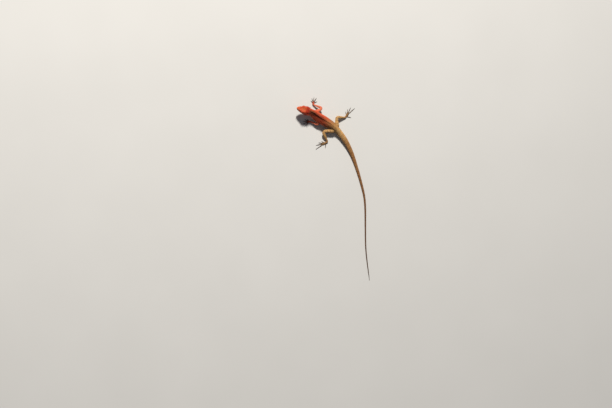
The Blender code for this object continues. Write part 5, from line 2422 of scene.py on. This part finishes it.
@dataclass
class Eardrums:
    """The eardrums: thin skin sunk in the ear hollow, drawn in towards the middle."""

    maker: Maker
    body: Body
    skin: Skin
    radius: float = 1.62
    thickness: float = 0.5
    gap: float = 0.3
    insets: Table = ((0.08, 0.06), (0.2, -0.02), (0.3, -0.12), (0.3, -0.1), (0.3, -0.05), (0.25, 0.02))

    def drawn_in(self, name: str) -> Piece:
        """A flat drum along Z, its top inset in rings that sink to the middle.

        Args:
            name: its name.

        Returns:
            The drum.
        """
        select()
        bpy.ops.mesh.primitive_cylinder_add(
            vertices=48, radius=self.radius, depth=self.thickness, location=(0, 0, 0)
        )
        drum = bpy.context.object
        drum.name = name
        bpy.ops.object.mode_set(mode="EDIT")
        bpy.ops.mesh.select_all(action="DESELECT")
        bpy.ops.object.mode_set(mode="OBJECT")
        max(drum.data.polygons, key=lambda face: face.center.z).select = True
        bpy.ops.object.mode_set(mode="EDIT")
        for step, drop in self.insets:
            bpy.ops.mesh.inset(thickness=step)
            bpy.ops.transform.translate(value=(0, 0, drop))
        bpy.ops.mesh.select_all(action="SELECT")
        bpy.ops.mesh.normals_make_consistent(inside=False)
        bpy.ops.object.mode_set(mode="OBJECT")
        return drum

    def build(self) -> None:
        """Makes both eardrums."""
        rim, heart = linear("3E1C14"), linear("82452F")
        for side in Side:
            faces = self.body.head_direction(self.skin.ear_faces, side)
            ear = self.body.in_head(self.skin.ear_place, side)
            middle = ear - faces * (self.skin.ear_depth - self.gap - self.thickness / 2)
            drum = self.drawn_in(f"drum_{side.word}")
            local = points_of(drum)
            axes = np.array(Vector(faces).to_track_quat("Z", "Y").to_matrix())
            self.maker.place(drum, middle + local @ axes.T)
            away = np.hypot(local[:, 0], local[:, 1]) / self.radius
            turn = np.arctan2(local[:, 1], local[:, 0])
            veins = 1 - 0.18 * np.clip(np.cos(turn * 9), 0, 1) * fade(0.1, 0.5, away)
            self.maker.tint(drum, mix(rim, heart, 1 - fade(0.35, 1.0, away)) * veins[:, None])
            self.maker.finish(drum, DRUM, Slot.EARDRUM, [f"eardrum_{side.word}"], 40.0)


@dataclass
class Studio:
    """A plain pale floor, soft lights and the camera."""

    body: Body
    target: Triple = (168.7, 32.0, 8.0)
    back: Triple = (0.140, -0.218, 0.966)
    right: Triple = (-0.5232, 0.8119, 0.2590)
    distance: float = 3.035
    lens: float = 85.0
    key_from: Triple = (-0.7, -0.7, 1.0)
    key_power: float = 228.0
    key_size: float = 0.5
    key_distance: float = 4.0
    key_colour: Triple = (1.0, 0.96, 0.9)
    sky_colour: tuple[float, ...] = (0.86, 0.92, 1.0, 1)
    fill: float = 0.15
    floor_colours: Table = ((0.60, 0.59, 0.57, 1), (0.64, 0.63, 0.61, 1))

    def build(self) -> None:
        """Sets up the floor, the lights and the camera."""
        self.floor()
        self.lights()
        self.camera()

    def floor(self) -> None:
        """A wide floor with a faint grain."""
        select()
        bpy.ops.mesh.primitive_plane_add(size=6.0, location=(0, 0, -0.0001))
        ground = bpy.context.object
        ground.name = "floor"
        bpy.ops.object.transform_apply(location=True, rotation=True, scale=True)
        made = bpy.data.materials.new("Floor")
        made.use_nodes = True
        tree = made.node_tree
        place = tree.nodes.new("ShaderNodeTexCoord")
        noise = wire(tree, "TexNoise", Vector=place.outputs["Object"], Scale=6.0)
        ramp = wire(tree, "ValToRGB", Fac=noise.outputs["Fac"])
        for element, colour in zip(ramp.color_ramp.elements, self.floor_colours):
            element.color = colour
        wire(tree, tree.nodes["Principled BSDF"], Base_Color=ramp.outputs["Color"], Roughness=0.8)
        ground.data.materials.append(made)

    def lights(self) -> None:
        """A soft key light from the head's right, over a pale sky."""
        lamp = bpy.data.lights.new("key", "AREA")
        lamp.shape, lamp.size, lamp.energy = "DISK", self.key_size, self.key_power
        lamp.color = self.key_colour
        key = add_object("key", lamp)
        way = Vector(self.key_from).normalized()
        key.location = way * self.key_distance
        key.rotation_euler = way.to_track_quat("Z", "Y").to_euler()
        world = bpy.context.scene.world or bpy.data.worlds.new("World")
        bpy.context.scene.world = world
        world.use_nodes = True
        wire(world.node_tree, world.node_tree.nodes["Background"], Color=self.sky_colour, Strength=self.fill)

    def camera(self) -> None:
        """The camera, at the viewing angle and distance of the photograph."""
        lens = bpy.data.cameras.new("camera")
        lens.lens, lens.sensor_width, lens.clip_start, lens.clip_end = self.lens, 36.0, 0.05, 20.0
        camera = add_object("camera", lens)
        back, right = unit(np.array(self.back)), np.array(self.right)
        right = unit(right - back * float(right @ back))
        up = np.cross(back, right)
        place = self.body.to_row(np.array(self.target)) + back * self.distance
        turned = Matrix(np.stack([right, up, back], axis=1).tolist()).to_4x4()
        camera.matrix_world = Matrix.Translation(Vector(place)) @ turned
        bpy.context.scene.camera = camera


def main() -> None:
    """Builds every piece of the lizard, the floor, the lights and the camera."""
    logging.basicConfig(level=logging.INFO, format="%(relativeCreated)d %(message)s")
    form = BodyForm()
    body = Body(form)
    maker = Maker(body)
    markings = Markings(Palette())
    legs = [Leg(leg, ToeForm()) for leg in LEGS]
    skin_form = Skin(maker, body, legs, markings)
    snap = Snap(skin_form.build(), body)
    trunk, limbs = TrunkScales(body, markings), LegScales(markings)
    coat = ScaleCoat(maker, snap, "trunk_scales", Slot.EMBER, FULL_SCALE)
    coat.clear = [(body.in_head(skin_form.ear_place, side), skin_form.ear_radius + 0.35) for side in Side]
    trunk.fill(coat, trunk.throat_from, trunk.starts, throat=True)
    trunk.fill(coat, trunk.starts, trunk.torso_end)
    coat.build()
    coat = ScaleCoat(maker, snap, "tail_scales", Slot.TAIL, SMALL_SCALE)
    trunk.fill(coat, trunk.torso_end, form.tail_tip - 1.0)
    coat.build()
    for name, shape, fill in (
        ("leg_scales", SMALL_SCALE, limbs.fill_leg), ("toe_scales", FULL_SCALE, limbs.fill_toes),
    ):
        coat = ScaleCoat(maker, snap, name, Slot.TAN, shape)
        for block, leg in enumerate(legs):
            fill(coat, leg, block)
        coat.build()
    HeadPlates(maker, body, snap, markings, skin_form).build()
    spines = Spines(maker, body, markings)
    spines.build_crest()
    spines.build_temples()
    Claws(maker, legs, markings).build()
    Eyes(maker, body).build()
    Eardrums(maker, body, skin_form).build()
    Studio(body).build()
    bpy.context.scene.view_settings.view_transform = "Standard"
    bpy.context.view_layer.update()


if __name__ == "__main__":
    main()
